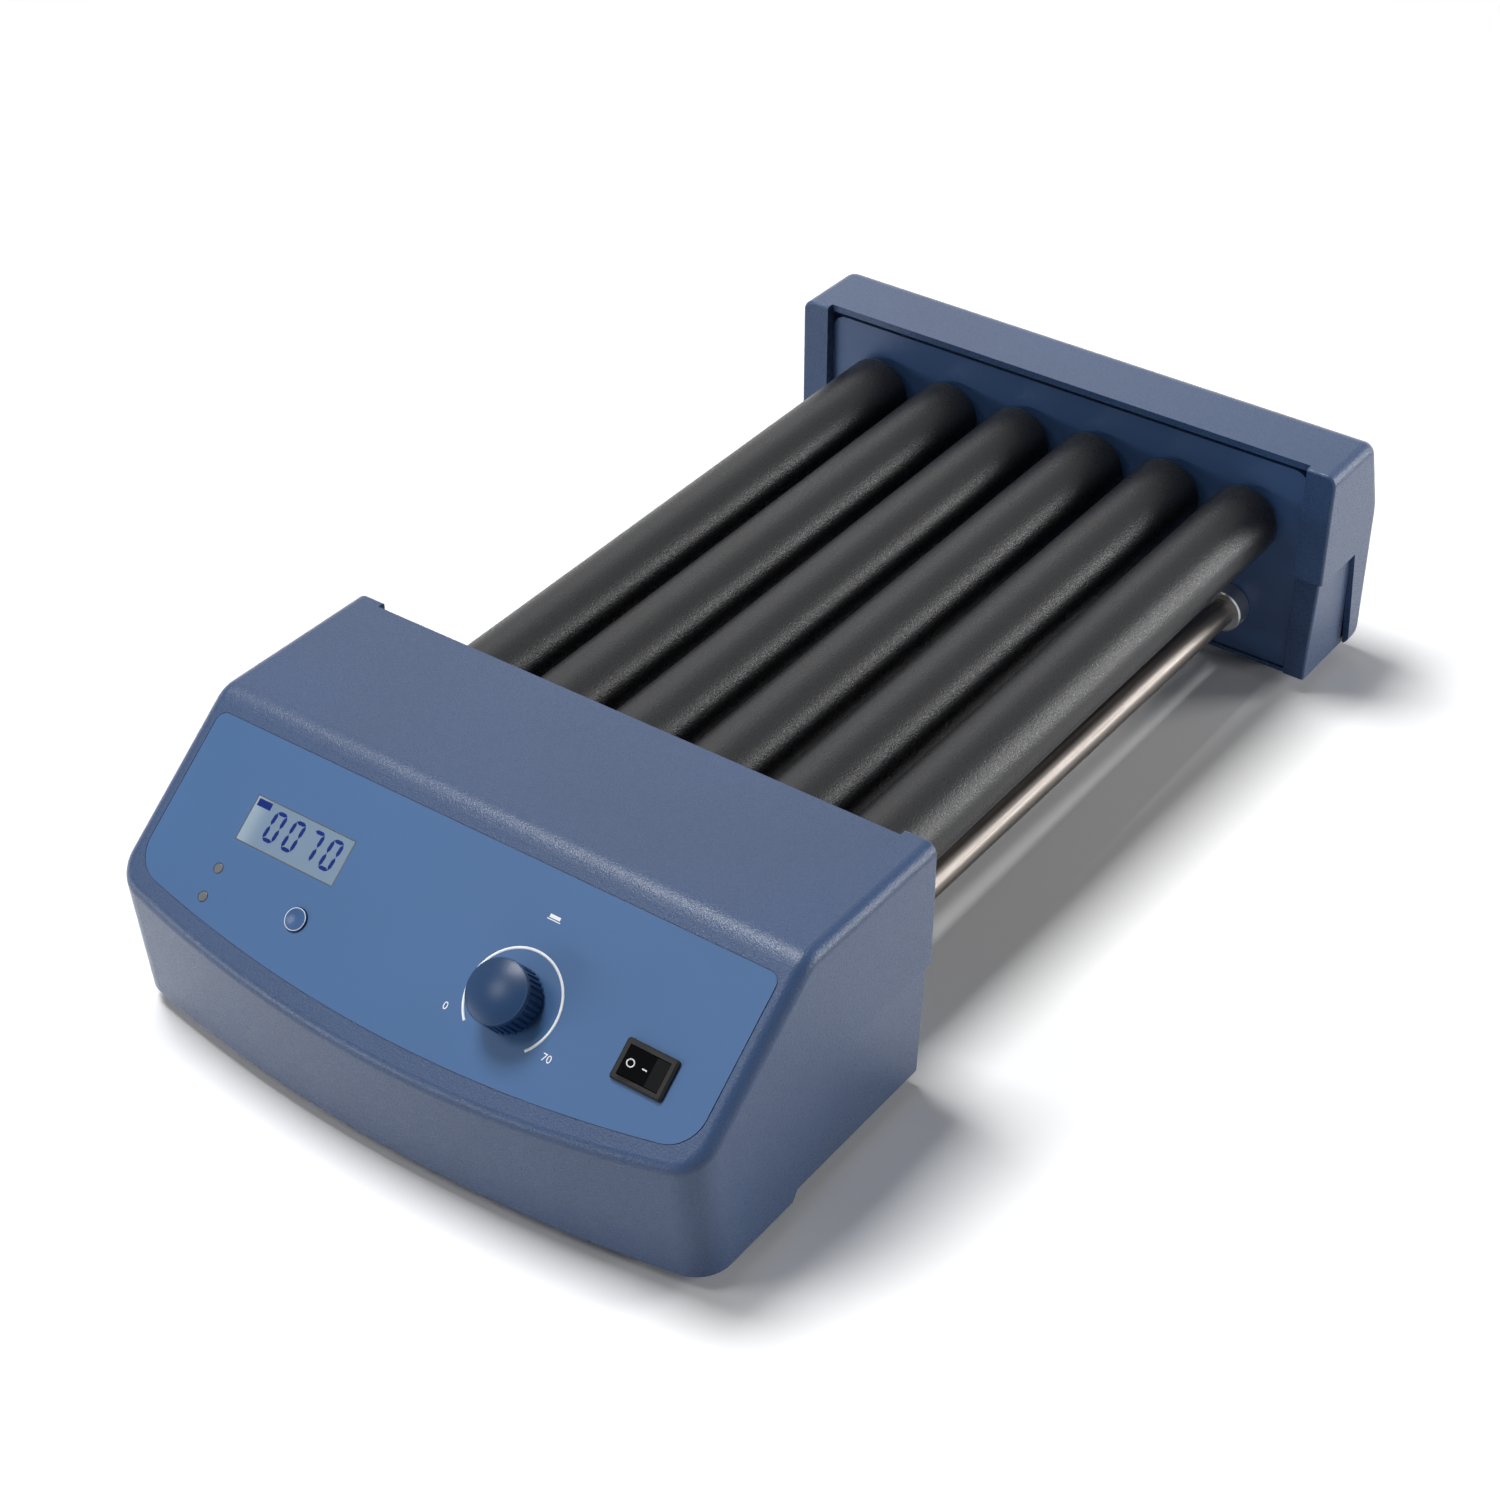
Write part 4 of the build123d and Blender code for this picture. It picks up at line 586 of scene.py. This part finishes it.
for text, across, down in (printing["lowNumber"], printing["highNumber"]):
    dialPrint.append(numeral(text, printing["numberHeight"], panelFace["inkThick"], whiteInk,
                             panelPlace(across, down, inkLift)))
pushPlace = panelPlace(printing["pushAcross"], printing["pushDown"])
for bar in printing["pushBars"]:
    dialPrint.append(slab(rectangle(*bar), inkLow, inkHigh, whiteInk, pushPlace))
addPiece("dial_print", joinMeshes("dial_print", dialPrint, whiteInk), "frame", "film")

keyRing = {"across": -52.1, "down": 64.1, "lift": 0.92,
           "radius": 4.12, "width": 0.3, "thick": 0.12, "steps": 65}
ringMesh = grownMesh("keyRing", arcs, {
    "Radius": keyRing["radius"] * mm, "Start": 0.0, "Sweep": 2 * math.pi,
    "Width": keyRing["width"] * mm, "Thick": keyRing["thick"] * mm, "Steps": keyRing["steps"],
    "Finish": whiteInk}, panelPlace(keyRing["across"], keyRing["down"], keyRing["lift"]))
addPiece("key_ring", ringMesh, "mode_key", "button")
print("panel printed")

display = {
    "left": -92.1, "top": 30.3, "lift": 0.1,
    "firstDigit": 10.75, "digitPitch": 9.0, "digitWidth": 4.3, "digitTop": 2.9, "digitHeight": 10.7,
    "stroke": 1.7, "thick": 0.04, "gap": 0.15, "lean": 0.08, "code": "0070",
    "barExtra": 0.3,  # level bars reach a little past the upright ones
    "flag": (1.1, 7.4, 1.0, 3.8),
    "flagHeights": (0.06, 0.14),
}
segmentsOf = {"0": "abcdef", "7": "abc"}


def digitPoints():
    # one point per lit segment, with an attribute that says which stand upright
    width, height = display["digitWidth"] * mm, display["digitHeight"] * mm
    spots = {"a": (0, height / 2, 0), "d": (0, -height / 2, 0),
             "b": (width / 2, height / 4, 1), "c": (width / 2, -height / 4, 1),
             "e": (-width / 2, -height / 4, 1), "f": (-width / 2, height / 4, 1)}
    points, upright = [], []
    for place, digit in enumerate(display["code"]):
        middle = (display["firstDigit"] + place * display["digitPitch"]) * mm + width / 2
        for segment in segmentsOf[digit]:
            x, y, stands = spots[segment]
            points.append((middle + x, y, 0.0))
            upright.append(float(stands))
    mesh = bpy.data.meshes.new("digitPoints")
    mesh.from_pydata(points, [], [])
    mesh.attributes.new("upright", "FLOAT", "POINT").data.foreach_set("value", upright)
    holder = bpy.data.objects.new("digitPoints", mesh)
    bpy.context.scene.collection.objects.link(holder)
    return holder


digitHolder = digitPoints()
digitMiddle = display["top"] + display["digitTop"] + display["digitHeight"] / 2
digits = grownMesh("digits", segmentTree(), {
    "Points": digitHolder, "Long": (display["digitHeight"] / 2 - display["gap"]) * mm,
    "Short": (display["digitWidth"] + display["barExtra"] - display["gap"]) * mm,
    "Stroke": display["stroke"] * mm, "Thick": display["thick"] * mm, "Lean": display["lean"],
    "Finish": segmentDye},
    panelPlace(display["left"], digitMiddle, display["lift"] + display["thick"] / 2))
bpy.data.objects.remove(digitHolder)
left, right, top, bottom = display["flag"]
flag = slab(rectangle(left, right, -bottom, -top), *display["flagHeights"], segmentDye,
            panelPlace(display["left"], display["top"]))
addPiece("display_digits", joinMeshes("display_digits", [digits, flag], segmentDye), "frame", "lcd")
print("display lit")

# Signs on the rocker's raised face, which leans up to the left
rockerFace = {"pivotAcross": 97.6, "pivotDown": 55.65, "pivotLift": 0.4, "tilt": 7.5, "crown": 1.7}
offSign = {"place": (-4.8, -0.3, 0.01), "radius": 1.3, "width": 0.45, "thick": 0.06, "steps": 49}
onSign = {"bar": (-0.5, 1.3, -0.55, -0.05), "heights": (-0.02, 0.04)}
rise = math.radians(rockerFace["tilt"])
pivotPlace = panelPlace(rockerFace["pivotAcross"], rockerFace["pivotDown"],
                        rockerFace["pivotLift"])
rockerPlace = pivotPlace @ Matrix.Rotation(rise, 4, "Y")
facePlace = rockerPlace @ Matrix.Translation((0, 0, rockerFace["crown"] * mm))
facePlace = facePlace @ Matrix.Rotation(rise, 4, "Y")
offPlace = facePlace @ Matrix.Translation([part * mm for part in offSign["place"]])
signs = [grownMesh("offRing", arcs, {
    "Radius": offSign["radius"] * mm, "Start": 0.0, "Sweep": 2 * math.pi,
    "Width": offSign["width"] * mm, "Thick": offSign["thick"] * mm, "Steps": offSign["steps"],
    "Finish": whiteInk}, offPlace)]
signs.append(slab(rectangle(*onSign["bar"]), *onSign["heights"], whiteInk, facePlace))
addPiece("rocker_signs", joinMeshes("rocker_signs", signs, whiteInk), "power_switch", "black_gloss")
print("switch marked")


# Stage: pale floor, soft lamps, white surroundings

plainWhite = (1.0, 1.0, 1.0, 1.0)


def seenRays(tree):
    # 1 where the camera, a reflection or a look through glass meets it, 0 for light on the object
    ray = addNode(tree, "ShaderNodeLightPath").outputs
    direct = addNode(tree, "ShaderNodeMath", operation="ADD", links={
        0: ray["Is Camera Ray"], 1: ray["Is Glossy Ray"]})
    through = addNode(tree, "ShaderNodeMath", operation="ADD", links={
        0: direct.outputs[0], 1: ray["Is Transmission Ray"]})
    return addNode(tree, "ShaderNodeMath", operation="MINIMUM", links={0: through.outputs[0]},
                   values={1: 1.0}).outputs[0]


paperFloor = {
    "half": 6.0,               # half its width, in m
    "drop": 0.0003,            # just below the feet
    "fibres": 900.0,           # about a millimetre apart
    "colours": ("FAFAFA", "FFFFFF"),
    "paler": (0.16, 0.16, 0.16, 1.0),  # added where it is seen
    "whiteFrom": (0.55, 1.0),  # metres from the middle, over which the shadows end in white
}


def floorFinish():
    # matt white paper, a shade paler where it is seen, and plain white beyond the object's shadow
    material, tree, skin, place = startMaterial("paperRollMattWhite", {"Roughness": 1.0})
    fibres = addNode(tree, "ShaderNodeTexNoise", links={"Vector": place}, values={
        "Scale": paperFloor["fibres"], "Detail": 2.0})
    greyer, whiter = (hexColour(code) for code in paperFloor["colours"])
    colour = addNode(tree, "ShaderNodeMix", data_type="RGBA", links={0: fibres.outputs["Fac"]},
                     values={6: greyer, 7: whiter})
    matt = addNode(tree, "ShaderNodeBsdfDiffuse", links={"Color": colour.outputs[2]})
    lift = addNode(tree, "ShaderNodeBsdfDiffuse", values={"Color": paperFloor["paler"]})
    both = addNode(tree, "ShaderNodeAddShader", links={0: matt.outputs[0], 1: lift.outputs[0]})
    seen = seenRays(tree)
    near = addNode(tree, "ShaderNodeMixShader", links={
        0: seen, 1: matt.outputs[0], 2: both.outputs[0]})
    away = addNode(tree, "ShaderNodeVectorMath", operation="LENGTH", links={0: place})
    whiteStart, whiteEnd = paperFloor["whiteFrom"]
    fade = addNode(tree, "ShaderNodeMapRange", interpolation_type="SMOOTHSTEP",
                   links={"Value": away.outputs["Value"]},
                   values={"From Min": whiteStart, "From Max": whiteEnd})
    white = addNode(tree, "ShaderNodeEmission", values={"Color": plainWhite, "Strength": 1.0})
    share = addNode(tree, "ShaderNodeMath", operation="MULTIPLY", links={
        0: seen, 1: fade.outputs["Result"]})
    whole = addNode(tree, "ShaderNodeMixShader", links={
        0: share.outputs[0], 1: near.outputs[0], 2: white.outputs[0]})
    output = next(n for n in tree.nodes if n.bl_idname == "ShaderNodeOutputMaterial")
    tree.links.new(whole.outputs[0], output.inputs["Surface"])
    tree.nodes.remove(skin)
    return material


def makeFloor():
    half = paperFloor["half"]
    mesh = bpy.data.meshes.new("paper_floor")
    corners = [(x, y, 0) for x, y in rectangle(-half, half, -half, half)]
    mesh.from_pydata(corners, [], [(0, 1, 2, 3)])
    mesh.materials.append(floorFinish())
    floor = bpy.data.objects.new("paper_floor", mesh)
    floor.location.z = -paperFloor["drop"]
    bpy.context.scene.collection.objects.link(floor)


def makeSurroundings():
    # plain white to the camera and in reflections, gentler as light
    light = {"seen": 1.0, "fill": 0.03}
    world = bpy.data.worlds.new("whiteRoom")
    bpy.context.scene.world = world
    world.use_nodes = True
    tree = world.node_tree
    tree.nodes.clear()
    span = addNode(tree, "ShaderNodeMath", operation="MULTIPLY", links={0: seenRays(tree)},
                   values={1: light["seen"] - light["fill"]})
    strength = addNode(tree, "ShaderNodeMath", operation="ADD", links={0: span.outputs[0]},
                       values={1: light["fill"]})
    room = addNode(tree, "ShaderNodeBackground", values={"Color": plainWhite},
                   links={"Strength": strength.outputs[0]})
    addNode(tree, "ShaderNodeOutputWorld", links={"Surface": room.outputs["Background"]})


# the way the light comes from, how far off in m, how wide and high, and how strong in W
softboxes = {
    "overheadBox": {
        "from": (-0.31, -0.03, 0.95), "distance": 3.2, "size": (1.2, 1.2), "power": 84.0},
    "frontLeftBox": {
        "from": (-0.40, -0.55, 0.73), "distance": 2.8, "size": (0.7, 0.7), "power": 11.0},
    "frontLowBox": {
        "from": (-0.58, -0.81, 0.08), "distance": 2.8, "size": (2.0, 0.24), "power": 21.0},
    "rightLowBox": {
        "from": (0.80, 0.60, 0.06), "distance": 2.8, "size": (1.8, 0.32), "power": 31.0},
    "backRightBox": {
        "from": (0.64, 0.69, 0.34), "distance": 2.8, "size": (1.0, 0.5), "power": 21.0},
    "backLeftBox": {
        "from": (-0.47, 0.65, 0.59), "distance": 3.0, "size": (1.2, 1.2), "power": 5.0},
}
lampTarget = (0.0, 0.0, 0.06)


def makeLamps():
    for name, box in softboxes.items():
        lamp = bpy.data.lights.new(name, "AREA")
        lamp.shape = "RECTANGLE"
        lamp.size, lamp.size_y = box["size"]
        lamp.energy = box["power"]
        holder = bpy.data.objects.new(name, lamp)
        way = Vector(box["from"]).normalized()
        holder.location = Vector(lampTarget) + way * box["distance"]
        holder.rotation_euler = way.to_track_quat("Z", "Y").to_euler()
        bpy.context.scene.collection.objects.link(holder)


def makeCamera():
    azimuth, elevation = math.radians(photoView["azimuth"]), math.radians(photoView["elevation"])
    back = Vector((math.sin(azimuth) * math.cos(elevation),
                   -math.cos(azimuth) * math.cos(elevation), math.sin(elevation)))
    lens = bpy.data.cameras.new("photoCamera")
    lens.lens = photoView["lens"]
    lens.sensor_width = photoView["sensor"]
    lens.clip_start, lens.clip_end = photoView["clip"]
    holder = bpy.data.objects.new("photoCamera", lens)
    holder.location = Vector(photoView["target"]) + back * photoView["distance"]
    roll = Matrix.Rotation(math.radians(photoView["roll"]), 3, "Z")
    holder.rotation_euler = ((-back).to_track_quat("-Z", "Y").to_matrix() @ roll).to_euler()
    bpy.context.scene.collection.objects.link(holder)
    bpy.context.scene.camera = holder


makeFloor()
makeSurroundings()
makeLamps()
makeCamera()
bpy.context.scene.view_settings.view_transform = "Standard"
print("stage set")
